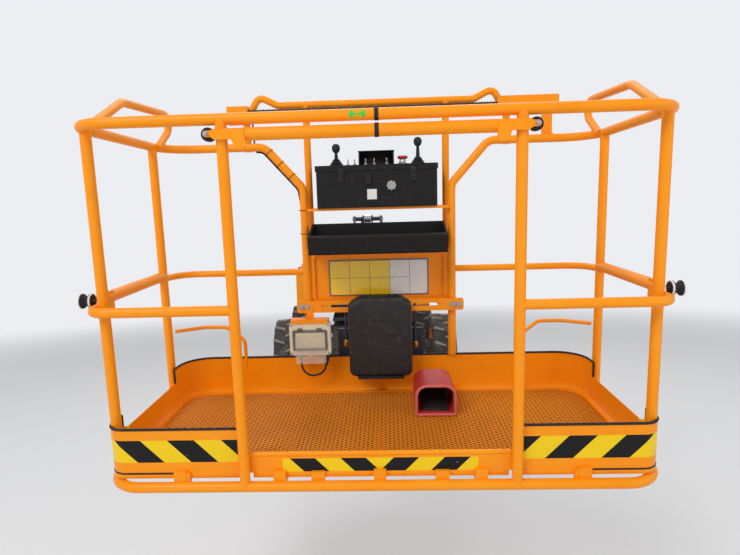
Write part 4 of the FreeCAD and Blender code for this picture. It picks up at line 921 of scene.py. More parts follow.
def bent(points: Sequence[Point], bends: Sequence[float], steps: int = 6) -> list[Vector]:
    """Line in space with a round at each inner corner.

    Args:
        points: The corners, in order, with the two ends.
        bends: Radius at each point; the ends' values aren't read.
        steps: Points of a round, less one.

    Returns:
        The line's points.
    """
    points = [Vector(p) for p in points]
    line = [points[0]]
    for i in range(1, len(points) - 1):
        back = (points[i - 1] - points[i]).normalized()
        on = (points[i + 1] - points[i]).normalized()
        half = back.angle(on) / 2
        centre = points[i] + (back + on).normalized() * bends[i] / math.sin(half)
        first = points[i] + back * bends[i] / math.tan(half) - centre
        axis = back.cross(on).normalized()
        turn = math.pi - 2 * half
        for k in range(steps + 1):
            line.append(centre + Matrix.Rotation(-turn * k / steps, 3, axis) @ first)
    line.append(points[-1])
    return line


# Geometry Nodes


class Tree(NodeKit):
    """A Geometry Nodes tree under construction."""

    KINDS = {float: "NodeSocketFloat", int: "NodeSocketInt"}

    def __init__(self, name: str, **sizes: float | int) -> None:
        """Makes the tree.

        Args:
            name: The tree's name.
            sizes: Named inputs with their defaults.
        """
        group = bpy.data.node_groups.new(name, "GeometryNodeTree")
        super().__init__(group)
        ports = group.interface
        ports.new_socket("Geometry", in_out="INPUT", socket_type="NodeSocketGeometry")
        ports.new_socket("Geometry", in_out="OUTPUT", socket_type="NodeSocketGeometry")
        self.ids = {}
        for size, value in sizes.items():
            port = ports.new_socket(size, in_out="INPUT", socket_type=self.KINDS[type(value)])
            port.default_value = value
            self.ids[size] = port.identifier
        self.entry = group.nodes.new("NodeGroupInput")
        self.exit = group.nodes.new("NodeGroupOutput")

    def size(self, name: str) -> Sock:
        """A named input."""
        return Sock(self, self.entry.outputs[name])

    def geometry(self, kind: str, inputs: dict | None = None) -> bpy.types.NodeSocket:
        """Adds a node and gives its geometry output."""
        return self.node(kind, None, inputs).outputs[0]

    def vector(self, x: object = 0.0, y: object = 0.0, z: object = 0.0) -> bpy.types.NodeSocket:
        """Vector of three values."""
        return self.node("ShaderNodeCombineXYZ", None, {0: x, 1: y, 2: z}).outputs[0]

    def join(self, *parts: bpy.types.NodeSocket) -> bpy.types.NodeSocket:
        """Joins geometries.

        Args:
            parts: The geometries.

        Returns:
            The joined geometry.
        """
        node = self.tree.nodes.new("GeometryNodeJoinGeometry")
        for part in parts:
            self.tree.links.new(part, node.inputs[0])
        return node.outputs[0]

    def finish(self, geometry: bpy.types.NodeSocket, material: bpy.types.Material) -> None:
        """Ends the tree in Realize Instances and Set Material.

        Args:
            geometry: What the tree has made.
            material: Its finish.
        """
        real = self.geometry("GeometryNodeRealizeInstances", {0: geometry})
        dressed = self.geometry("GeometryNodeSetMaterial", {"Geometry": real, "Material": material})
        self.tree.links.new(dressed, self.exit.inputs[0])

    def grow(self, base: bpy.types.Mesh, at: Matrix | None = None, **sizes: float | int) -> bpy.types.Mesh:
        """Runs the tree on a mesh.

        Args:
            base: The mesh that the tree reads.
            at: Frame of the result, carried to the machine's frame.
            sizes: Values of the named inputs.

        Returns:
            The plain mesh.
        """
        holder = bpy.data.objects.new(base.name, base)
        bpy.context.scene.collection.objects.link(holder)
        modifier = holder.modifiers.new("tree", "NODES")
        modifier.node_group = self.tree
        for name, value in sizes.items():
            modifier[self.ids[name]] = value
        graph = bpy.context.evaluated_depsgraph_get()
        mesh = bpy.data.meshes.new_from_object(holder.evaluated_get(graph))
        bpy.data.objects.remove(holder)
        if at is not None:
            mesh.transform(at)
        return mesh


def seats(name: str, places: Sequence[tuple[Point, Point]]) -> bpy.types.Mesh:
    """Mesh of points with the direction that each faces.

    Args:
        name: The mesh's name.
        places: Pairs of place and direction.

    Returns:
        The mesh, with a "facing" attribute.
    """
    mesh = bpy.data.meshes.new(name)
    mesh.from_pydata([tuple(place) for place, _ in places], [], [])
    facing = mesh.attributes.new("facing", "FLOAT_VECTOR", "POINT")
    facing.data.foreach_set("vector", [value for _, way in places for value in way])
    return mesh


class Fasteners:
    """Hexagon bolts on washers, set on points by one tree."""

    def __init__(self, finishes: Finishes) -> None:
        """Builds the tree.

        Args:
            finishes: The materials.
        """
        self.finishes = finishes
        tree = Tree("hex_bolts", radius=0.009, height=0.006)
        radius, height = tree.size("radius"), tree.size("height")
        head = self._disc(tree, 6, radius, radius, height, height * 0.7)
        crown = self._disc(tree, 6, radius, radius * 0.8, height * 0.25, height * 1.2)
        washer = self._disc(tree, 16, radius * 1.3, radius * 1.3, height * 0.25, height * 0.12)
        facing = tree.node("GeometryNodeInputNamedAttribute", {"data_type": "FLOAT_VECTOR"},
                           {"Name": "facing"}).outputs[0]
        turn = tree.node("FunctionNodeAlignRotationToVector", {"axis": "Z"}, {"Vector": facing}).outputs[0]
        points = tree.geometry("GeometryNodeMeshToPoints", {0: tree.entry.outputs["Geometry"]})
        set_on = tree.geometry("GeometryNodeInstanceOnPoints", {
            "Points": points, "Instance": tree.join(head, crown, washer), "Rotation": turn})
        tree.finish(set_on, finishes.zinc)
        self.tree = tree

    @staticmethod
    def _disc(tree: Tree, sides: int, low: Sock, high: Sock, depth: Sock,
              top: Sock) -> bpy.types.NodeSocket:
        """Adds a short upright cone to the tree.

        Args:
            tree: The tree.
            sides: Corners of its section.
            low: Radius of its foot.
            high: Radius of its top.
            depth: Its height.
            top: Height that its top reaches.

        Returns:
            The cone's geometry.
        """
        cone = tree.geometry("GeometryNodeMeshCone", {
            "Vertices": sides, "Radius Top": high, "Radius Bottom": low, "Depth": depth})
        return tree.geometry("GeometryNodeTransform", {
            "Geometry": cone, "Translation": tree.vector(0.0, 0.0, top - depth * 0.5)})

    def on(self, name: str, body: str, places: Sequence[tuple[Point, Point]], radius: float,
           at: Matrix | None = None) -> bpy.types.Object:
        """Sets bolts on places.

        Args:
            name: The piece's name.
            body: The body that it rides on.
            places: Pairs of place and direction.
            radius: Half the width of a bolt's head.
            at: Frame of the places.

        Returns:
            The piece.
        """
        mesh = self.tree.grow(seats(name, places), at, radius=radius, height=radius * 0.7)
        return settle(mesh, name, body, self.finishes.zinc, smooth=False)


# Sub-assemblies


@dataclass
class Wheels:
    """Tyres with chevron lugs, rim lips, hub caps, wheel nuts and hub bolts."""

    finishes: Finishes
    fasteners: Fasteners
    outer: float = 0.420
    base: float = 0.392
    rim: float = 0.254
    sides: int = 96
    lugs: int = 13
    lean: float = 0.042
    tread_depth: float = 0.014
    nuts: int = 9
    nut_circle: float = 0.1215
    nut_face: float = -0.054
    nut_size: float = 0.0088
    cover_bolts: int = 6
    cover_circle: float = 0.060
    cover_face: float = 0.060
    cover_bolt_size: float = 0.0075

    def build(self) -> None:
        """Builds the four wheels."""
        for end in ("front", "rear"):
            for side in ("left", "right"):
                self._wheel(f"{end}_{side}")

    def _wheel(self, name: str) -> None:
        """Builds one wheel's tyre, nuts, lip and hub cap.

        Args:
            name: The wheel's name.
        """
        low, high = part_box("tyre_" + name)
        centre = (low + high) / 2
        outward = 1.0 if centre.x > 0 else -1.0
        self._tyre(name, centre, outward)
        for label, count, radius, face, size in (
            ("wheel_nuts_", self.nuts, self.nut_circle, self.nut_face, self.nut_size),
            ("hub_bolts_", self.cover_bolts, self.cover_circle, self.cover_face, self.cover_bolt_size),
        ):
            places = [(centre + Vector((outward * face, y, z)), (outward, 0, 0))
                      for y, z in circle(count, radius)]
            self.fasteners.on(label + name, "wheel_" + name, places, size)
        lip = Shape(Matrix.Translation(centre))
        lip.lathe([(0.110, 0.2430), (0.110, 0.2555), (0.120, 0.2570), (0.126, 0.2625), (0.129, 0.2620),
                   (0.1275, 0.2560), (0.121, 0.2490), (0.118, 0.2430)],
                  along=(outward, 0, 0), sides=self.sides, loop=True)
        lip.lathe([(0.058, 0.0), (0.058, 0.030), (0.066, 0.030), (0.069, 0.026), (0.069, 0.012),
                   (0.074, 0.011), (0.074, 0.0)], along=(outward, 0, 0), sides=32)
        lip.piece("rim_lip_" + name, "wheel_" + name, self.finishes.rim)

    def _tyre(self, name: str, centre: Vector, outward: float) -> None:
        """Builds one tyre: a turned carcass with ribs on its walls, and lugs in two staggered rows.

        Args:
            name: The wheel's name.
            centre: Its middle.
            outward: The sign of its outer side.
        """
        shape = Shape(Matrix.Translation(centre))
        profile = [(-0.118, self.rim), (-0.128, 0.262), (-0.140, 0.285), (-0.147, 0.300), (-0.150, 0.322),
                   (-0.1495, 0.338), (-0.146, 0.342), (-0.1465, 0.350), (-0.140, 0.368), (-0.125, 0.385),
                   (-0.100, self.base), (0.100, self.base), (0.125, 0.385), (0.140, 0.368),
                   (0.1465, 0.350), (0.146, 0.342), (0.1495, 0.338), (0.150, 0.322), (0.147, 0.300),
                   (0.140, 0.285), (0.128, 0.262), (0.118, self.rim)]
        shape.lathe(profile, along=(1, 0, 0), sides=self.sides, loop=True)
        lowest = math.pi - math.asin(self.lean / self.outer)
        for row in (-1, 1):
            half_pitch = 0.0 if row * outward > 0 else 0.5
            for k in range(self.lugs):
                shape.rings(self._lug(row, -lowest - 2 * math.pi * (k + half_pitch) / self.lugs))
        made = shape.piece("tyre_" + name + "_dressed", "wheel_" + name, self.finishes.tyre, "tyre_rubber")
        self._mark_tread(made.data, centre)
        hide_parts("tyre_" + name)

    def _lug(self, row: int, turn: float) -> list[list[Point]]:
        """Shapes one lug, from the middle of the tread down the shoulder.

        Args:
            row: The sign of its side of the tread.
            turn: Its place round the tyre, in radians.

        Returns:
            The lug's rings.
        """
        stations = [  # across, along, half width, top radius, root radius
            (0.004, -0.027, 0.014, self.outer - 0.003, self.base - 0.004),
            (0.040, -0.013, 0.015, self.outer - 0.001, self.base - 0.004),
            (0.096, 0.009, 0.017, self.outer - 0.001, self.base - 0.006),
            (0.120, 0.018, 0.018, self.outer - 0.004, 0.378),
            (0.1420, 0.023, 0.018, 0.392, 0.350),
            (0.1500, 0.024, 0.016, 0.354, 0.326),
        ]
        rings = []
        for across, along, half, top, root in stations:
            ring = []
            for radius, spread in ((root, 1.25), (top - 0.004, 1.0), (top, 0.82), (top, -0.82),
                                   (top - 0.004, -1.0), (root, -1.25)):
                angle = turn + (along + half * spread) / self.outer
                sunk = 0.004 if radius == root and across > 0.14 else 0.0
                ring.append((row * (across - sunk), radius * math.sin(angle), radius * math.cos(angle)))
            rings.append(ring)
        return rings

    def _mark_tread(self, mesh: bpy.types.Mesh, centre: Vector) -> None:
        """Gives the mesh its tread attribute: 1 on top of the lugs, 0 elsewhere.

        Args:
            mesh: The tyre.
            centre: Its middle.
        """
        tread = mesh.attributes.new("tread", "FLOAT", "POINT")
        for i, vertex in enumerate(mesh.vertices):
            away = vertex.co - centre
            on_lug = math.hypot(away.y, away.z) > self.outer - self.tread_depth
            tread.data[i].value = 1.0 if on_lug else 0.0


@dataclass
class PlatformFrame:
    """The platform's own frame: x right, y back from the front rail, z up from the bottom rail."""

    rotator_y: float = 1.000
    yaw_deg: float = -4.0

    def matrix(self) -> Matrix:
        """Works out the frame at rest from the platform's joint.

        Returns:
            The frame.
        """
        turn = joint("platform_rotate")
        up = Vector(turn["axis"])
        tilt = math.atan2(-up.y, up.z)
        frame_turn = Matrix.Rotation(tilt, 4, "X") @ Matrix.Rotation(math.radians(self.yaw_deg), 4, "Z")
        origin = Vector(turn["pos_m"]) - frame_turn @ Vector((0, self.rotator_y, 0))
        return Matrix.Translation(origin) @ frame_turn


@dataclass
class Floor:
    """Expanded mesh floor: zigzag strands joined at their corners, in a flat bar frame."""

    finishes: Finishes
    at: Matrix
    half_width: float = 0.866
    front: float = 0.032
    rear: float = 0.696
    top: float = 0.055
    long_pitch: float = 0.031
    short_pitch: float = 0.0135
    strand: float = 0.0019
    thick: float = 0.0050
    front_round: float = 0.068
    rear_round: float = 0.108
    bar_width: float = 0.016
    bar_depth: float = 0.006
    bar_proud: float = 0.0015

    def build(self) -> None:
        """Builds the mesh and its frame, which stand for the plain panel."""
        width, depth = 2 * self.half_width, self.rear - self.front
        rows = int(depth / (self.short_pitch / 2))
        steps = int(width / (self.long_pitch / 2)) + 1
        tree = self._tree(rows, steps)
        mesh = tree.grow(seed("floor_seed"), None, long_pitch=self.long_pitch, short_pitch=self.short_pitch,
                         strand=self.strand, thick=self.thick)
        mesh.transform(Matrix.Translation((-self.half_width, self.front, self.top - self.thick)))
        self._trim(mesh)
        mesh.transform(self.at)
        made = settle(mesh, "floor_mesh", "platform", self.finishes.floor, smooth=False)
        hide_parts("platform_floor")
        self._frame()

    def _tree(self, rows: int, steps: int) -> Tree:
        """Makes the tree of one zigzag strand, repeated back over the floor.

        Args:
            rows: How many strands.
            steps: Points of a strand.

        Returns:
            The tree.
        """
        tree = Tree("expanded_mesh", long_pitch=0.03, short_pitch=0.013, strand=0.002, thick=0.002)
        half_long, half_short = tree.size("long_pitch") * 0.5, tree.size("short_pitch") * 0.5
        index = tree.value("GeometryNodeInputIndex")
        line = tree.geometry("GeometryNodeMeshLine", {
            "Count": steps, "Offset": tree.vector(half_long, 0.0, 0.0)})
        odd = index.modulo(2.0)
        zigzag = tree.geometry("GeometryNodeSetPosition", {
            "Geometry": line, "Offset": tree.vector(0.0, (odd - 0.5) * half_short, 0.0)})
        curve = tree.geometry("GeometryNodeMeshToCurve", {0: zigzag})
        profile = tree.geometry("GeometryNodeCurvePrimitiveQuadrilateral", {
            "Width": tree.size("strand") * 2.0, "Height": tree.size("thick")})
        strand = tree.geometry("GeometryNodeCurveToMesh", {0: curve, 1: profile, "Fill Caps": True})
        seats_line = tree.geometry("GeometryNodeMeshLine", {
            "Count": rows, "Offset": tree.vector(0.0, half_short, 0.0)})
        shifted = tree.geometry("GeometryNodeSetPosition", {
            "Geometry": seats_line, "Offset": tree.vector(index.modulo(2.0) * half_long, 0.0, 0.0)})
        rows_set = tree.geometry("GeometryNodeInstanceOnPoints", {"Points": shifted, "Instance": strand})
        tree.finish(rows_set, self.finishes.floor)
        return tree

    def _outline(self, inset: float) -> list[tuple[float, float]]:
        """Outlines the floor.

        Args:
            inset: How far inside its edge.

        Returns:
            The outline in plan.
        """
        w, f, r = self.half_width - inset, self.front + inset, self.rear - inset
        return plate(-w, f, w, r, [self.front_round, self.front_round, self.rear_round, self.rear_round])

    def _trim(self, mesh: bpy.types.Mesh) -> None:
        """Cuts the strands off outside the floor's rounded outline.

        Args:
            mesh: The strands, in the platform's frame.
        """
        edit = bmesh.new()
        edit.from_mesh(mesh)
        doomed = [v for v in edit.verts if not self._inside(v.co.x, v.co.y)]
        bmesh.ops.delete(edit, geom=doomed, context="VERTS")
        edges = [e for e in edit.edges if e.is_boundary]
        bmesh.ops.holes_fill(edit, edges=edges)
        edit.to_mesh(mesh)
        edit.free()

    def _inside(self, x: float, y: float) -> bool:
        """Tests whether a point lies on the floor.

        Args:
            x: Its place across.
            y: Its place back.

        Returns:
            Whether it does.
        """
        x = abs(x)
        if x > self.half_width or not self.front <= y <= self.rear:
            return False
        for corner, radius in ((self.front, self.front_round), (self.rear, self.rear_round)):
            inward = 1 if corner == self.front else -1
            dx = x - (self.half_width - radius)
            dy = ((corner + inward * radius) - y) * inward
            if dx > 0 and dy > 0 and math.hypot(dx, dy) > radius:
                return False
        return True

    def _frame(self) -> None:
        """Flat bar round the mesh."""
        shape = Shape(self.at)
        low = self.top - self.bar_depth
        outer, inner = [[(x, y, low) for x, y in self._outline(inset)] for inset in (0.0, self.bar_width)]
        shape.border(outer, inner, (0, 0, self.bar_depth + self.bar_proud))
        shape.piece("floor_frame", "platform", self.finishes.orange, "orange_paint")


@dataclass
class ToeTrim:
    """Black rubber beading on the toe boards' edges, and the lower fold of the front ones."""

    finishes: Finishes
    at: Matrix
    half_width: float = 0.8935
    narrow: float = 0.8755
    front: float = 0.0195
    rear: float = 0.7215
    wing_top: float = 0.190
    side_top: float = 0.150
    rear_top: float = 0.210
    bottom: float = 0.0385
    entry: float = 0.435
    wing_end: float = 0.138
    rear_start: float = 0.560
    corner: float = 0.0585
    rear_corner: float = 0.1185
    step: float = 0.004
    bead: float = 0.0048
    fold_low: float = 0.0215
    fold_high: float = 0.0400
    fold_wall: float = 0.0015

    def build(self) -> None:
        """Builds the beads of the two wings and of the rear board."""
        shape = Shape(self.at)
        for side in (-1, 1):
            w, f, end = side * self.half_width, self.front, self.wing_end
            points = [(side * self.entry, f, self.wing_top), (w, f, self.wing_top), (w, end, self.wing_top),
                      (w, end, self.side_top)]
            shape.tube(bent(points, [0, self.corner, self.step, 0]), self.bead, 8)
            low = [(w, 0.100, self.bottom), (w, f, self.bottom),
                   (side * (self.entry + 0.22), f, self.bottom)]
            shape.tube(bent(low, [0, self.corner, 0]), self.bead * 0.8, 8)
        w, start = self.narrow, self.rear_start
        back = [(-w, start, self.side_top), (-w, start, self.rear_top), (-w, self.rear, self.rear_top),
                (w, self.rear, self.rear_top), (w, start, self.rear_top), (w, start, self.side_top)]
        bends = [0, self.step, self.rear_corner, self.rear_corner, self.step, 0]
        shape.tube(bent(back, bends), self.bead, 8)
        shape.piece("toe_board_beading", "platform", self.finishes.rubber, "black_plastic")
        self._folds()

    def _folds(self) -> None:
        """Lower fold of the front boards."""
        fold = Shape(self.at)
        w, f = self.half_width + self.fold_wall, self.front - 0.0005
        self._wall(fold, [(-0.412, f), (0.412, f)])
        for side in (-1, 1):
            line = [(side * 0.455, f, 0), (side * w, f, 0), (side * w, self.wing_end, 0)]
            self._wall(fold, [(p.x, p.y) for p in bent(line, [0, 0.060, 0], 8)])
        fold.piece("toe_board_folds", "platform", self.finishes.orange, "orange_paint", bevel=0.0004)

    def _wall(self, shape: Shape, line: Outline) -> None:
        """Adds a thin upright wall.

        Args:
            shape: The shape that it is added to.
            line: Its line in plan.
        """
        rings = []
        for i, (x, y) in enumerate(line):
            before, after = Vector(line[max(i - 1, 0)]), Vector(line[min(i + 1, len(line) - 1)])
            way = (after - before).normalized()
            dx, dy = way.y * self.fold_wall, -way.x * self.fold_wall
            low, high = self.fold_low, self.fold_high
            rings.append([(x - dx, y - dy, low), (x + dx, y + dy, low),
                          (x + dx, y + dy, high), (x - dx, y - dy, high)])
        shape.rings(rings)


@dataclass
class SpiralWrap:
    """Cable between the arch's end boxes: a core with a wrap wound round it."""

    finishes: Finishes
    at: Matrix
    start: float = -0.548
    end: float = 0.517
    y: float = 0.778
    z: float = 1.285
    core: float = 0.0062
    wrap: float = 0.0022
    pitch: float = 0.0125
    turn_steps: int = 14
    margin: float = 0.004

    def build(self) -> None:
        """Builds the core and the wrap wound round it, which stand for the plain cable."""
        shape = Shape(self.at)
        shape.tube([(self.start, self.y, self.z), (self.end, self.y, self.z)], self.core, 12)
        turns = (self.end - self.start) / self.pitch
        steps = int(turns * self.turn_steps)
        reach = self.core + self.wrap * 0.6
        line = []
        for k in range(steps + 1):
            angle = 2 * math.pi * turns * k / steps
            x = self.start + self.margin + (self.end - self.start - 2 * self.margin) * k / steps
            line.append((x, self.y + reach * math.cos(angle), self.z + reach * math.sin(angle)))
        shape.tube(line, self.wrap, 5)
        made = shape.piece("wrapped_cable", "platform", self.finishes.black, "black_plastic")
        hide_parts("spiral_cable")


@dataclass
class Console:
    """Fine parts of the control box: levers in boots, display, stop button, switches, latches, label."""

    finishes: Finishes
    at: Matrix
    top: float = 1.043
    face: float = 0.680
    levers: tuple[tuple[float, float], ...] = ((-0.172, 0.078), (0.178, 0.096))
    folds: int = 4
    hood_rise: float = 0.062
    button: tuple[float, float] = (0.112, 0.745)
    toggles: tuple[float, ...] = (-0.118, -0.090, -0.044, -0.008, 0.044)
    key: tuple[float, float] = (0.062, 0.955)
    key_radius: float = 0.0185

    def build(self) -> None:
        """Builds the console's parts."""
        self._levers()
        self._hood()
        self._button()
        self._switches()
        self._latches()
        self._label()

    def _levers(self) -> None:
        """Two levers with folded boots, which stand for the plain controls."""
        shape = Shape(self.at)
        for x, height in self.levers:
            boot = [(0, 0.034), (0.003, 0.034)]
            for fold in range(self.folds):
                reach = 0.003 + fold * 0.0065
                radius = 0.030 - fold * 0.0045
                boot += [(reach + 0.002, radius - 0.003), (reach + 0.0045, radius),
                         (reach + 0.0065, radius - 0.004)]
            boot += [(0.032, 0.0085), (height - 0.022, 0.0062), (height - 0.018, 0.012),
                     (height - 0.010, 0.0165), (height, 0.0180), (height + 0.010, 0.0150),
                     (height + 0.016, 0.0080), (height + 0.0175, 0.0)]
            shape.lathe(boot, (x, 0.760, self.top), (0, 0, 1), 28)
        made = shape.piece("lever_boots", "platform", self.finishes.rubber, "black_plastic")
        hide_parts("console_controls")

    def _hood(self) -> None:
        """Folded hood over the display, with the dark display in it."""
        hood = Shape(self.at)
        z0, z1 = self.top, self.top + self.hood_rise
        cheek = ((0.742, z0), (0.826, z0), (0.826, z1), (0.756, z1))
        for side in (-1, 1):
            hood.bar(cheek, side * 0.071, side * 0.076)
        hood.bar(((0.750, z1 - 0.004), (0.828, z1 - 0.004), (0.828, z1), (0.750, z1)), -0.078, 0.078)
        hood.box((-0.073, 0.822, z0), (0.073, 0.828, z1 - 0.002))
        hood.piece("display_hood", "platform", self.finishes.black, "black_plastic", bevel=0.0015)
        display = Shape(self.at)
        display.bar(((0.790, z0), (0.818, z0), (0.818, z0 + 0.048), (0.808, z0 + 0.048)), -0.060, 0.060)
        display.piece("display", "platform", self.finishes.rubber, "black_plastic", bevel=0.002)

    def _button(self) -> None:
        """Stop button on its collar."""
        seat = (*self.button, self.top)
        collar = Shape(self.at)
        collar.lathe([(0, 0.019), (0.005, 0.019), (0.007, 0.016), (0.012, 0.013), (0.0225, 0.0125),
                      (0.0225, 0)], seat, (0, 0, 1), 28)
        collar.piece("stop_button_collar", "platform", self.finishes.zinc)
        cap = Shape(self.at)
        cap.lathe([(0.022, 0.0), (0.022, 0.016), (0.026, 0.0215), (0.031, 0.0225), (0.0345, 0.0205),
                   (0.0362, 0.014), (0.0366, 0.0)], seat, (0, 0, 1), 28)
        cap.piece("stop_button_cap", "platform", self.finishes.red, "red_plastic")

    def _switches(self) -> None:
        """Toggle switches in front of the display hood."""
        shape = Shape(self.at)
        for x in self.toggles:
            shape.lathe([(0, 0.0075), (0.004, 0.0075), (0.004, 0.005), (0.009, 0.0042), (0.009, 0.0020),
                         (0.024, 0.0028), (0.026, 0.0015), (0.0262, 0)],
                        (x, 0.704, self.top), (0, -0.14, 1), 12)
        shape.piece("toggle_switches", "platform", self.finishes.zinc)

    def _latches(self) -> None:
        """Two rubber lid latches, the clip and the round key socket."""
        rubber = Shape(self.at)
        for x in (-0.148, 0.152):
            strap = plate(x - 0.011, 0.990, x + 0.011, 1.030, 0.003)
            rubber.slab(strap, self.face - 0.006, self.face + 0.001)
            rubber.lathe([(0, 0.0135), (0.005, 0.0135), (0.0068, 0.0115), (0.0068, 0.006), (0.004, 0.0045),
                          (0.004, 0)], (x, self.face, 0.983), (0, -1, 0), 20)
            for rib in range(4):
                z = 1.000 + rib * 0.006
                rubber.box((x - 0.009, self.face - 0.0075, z), (x + 0.009, self.face - 0.0055, z + 0.0025))
        rubber.box((-0.046, self.face - 0.009, 0.962), (-0.022, self.face + 0.001, 1.002))
        rubber.box((-0.043, self.face - 0.013, 0.978), (-0.025, self.face - 0.008, 0.990))
        rubber.piece("lid_latches", "platform", self.finishes.rubber, "black_plastic", bevel=0.0008)
        socket = Shape(self.at)
        x, z = self.key
        socket.lathe([(0, self.key_radius), (0.006, self.key_radius), (0.008, 0.0165), (0.008, 0.0105),
                      (0.0035, 0.0095), (0.0035, 0.0)], (x, self.face, z), (0, -1, 0), 28)
        for dx, dz in circle(8, self.key_radius):
            socket.lathe([(0, 0.0025), (0.007, 0.0025), (0.007, 0)],
                         (x + dx, self.face, z + dz), (0, -1, 0), 8)
        socket.piece("key_socket", "platform", self.finishes.zinc)

    def _label(self) -> None:
        """Bare white label on the front of the box."""
        label = Shape(self.at)
        label.slab(plate(-0.040, 0.900, 0.0, 0.942, 0.001, 2), self.face - 0.0006, self.face + 0.0005)
        label.piece("bare_label", "platform", self.finishes.white)


@dataclass
class BackPanel:
    """Sign plate, bolts and document box before the back panel."""

    finishes: Finishes
    fasteners: Fasteners
    at: Matrix
    bar_face: float = 0.688
    bolt_z: float = 0.442
    sign_face: float = 0.7345
    case_half: float = 0.135

    def build(self) -> None:
        """Builds the parts."""
        sign = Shape(self.at)
        sign.slab(plate(-0.2215, 0.479, 0.2155, 0.640, 0.004, 3), self.sign_face, 0.7385)
        sign.piece("sign_plate", "platform", self.finishes.sign)
        bolts = [((side * x, self.bar_face, self.bolt_z), (0, -1, 0))
                 for side in (-1, 1) for x in (0.342, 0.315, 0.118)]
        self.fasteners.on("slotted_bar_bolts", "platform", bolts, 0.0095, self.at)
        rivets = [((x, self.sign_face, z), (0, -1, 0)) for x in (-0.212, 0.206) for z in (0.488, 0.631)]
        self.fasteners.on("sign_rivets", "platform", rivets, 0.0035, self.at)
        self._document_box()

    def _document_box(self) -> None:
        """Moulded box with a domed lid, a sunk rectangle and a rolled foot."""
        shape = Shape(self.at)
        half = self.case_half
        outline = [(-half, 0.145), (half, 0.145), (half, 0.462), (0.088, 0.494), (-0.088, 0.494),
                   (-half, 0.462)]
        radii = [0.026, 0.026, 0.030, 0.040, 0.040, 0.030]
        depths = [  # depth, inset
            (0.6875, 0.010), (0.684, 0.002), (0.676, 0.0), (0.632, 0.0), (0.622, 0.002), (0.615, 0.006),
            (0.6115, 0.012), (0.6102, 0.020),
        ]
        middle = Vector((0.0, 0.32))
        rings = []
        for depth, inset in depths:
            ring = []
            for x, z in rounded(outline, radii, 7):
                away = Vector((x, z)) - middle
                shrunk = middle + Vector((away.x * (1 - inset / half), away.y * (1 - inset / 0.175)))
                ring.append((shrunk.x, depth, shrunk.y))
            rings.append(ring)
        shape.rings(rings)
        made = shape.piece("document_case", "platform", self.finishes.black, "black_plastic")
        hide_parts("document_box")
        trim = Shape(self.at)
        trim.bezel(plate(-0.084, 0.326, 0.084, 0.396, 0.003, 3),
                   plate(-0.080, 0.330, 0.080, 0.392, 0.002, 3), 0.6105, 0.6092)
        trim.lathe([(0, 0.009), (0.004, 0.009), (0.0055, 0.007), (0.0055, 0.0)],
                   (0.0, 0.640, 0.486), (0, -0.2, 1), 16)
        for side in (-1, 1):
            for row in range(3):
                y = 0.628 + row * 0.014
                trim.box((side * 0.035, y, 0.4935), (side * 0.080, y + 0.007, 0.4965))
        trim.box((-0.100, 0.608, 0.138), (0.100, 0.640, 0.148))
        trim.piece("document_case_trim", "platform", self.finishes.rubber, "black_plastic", bevel=0.0006)


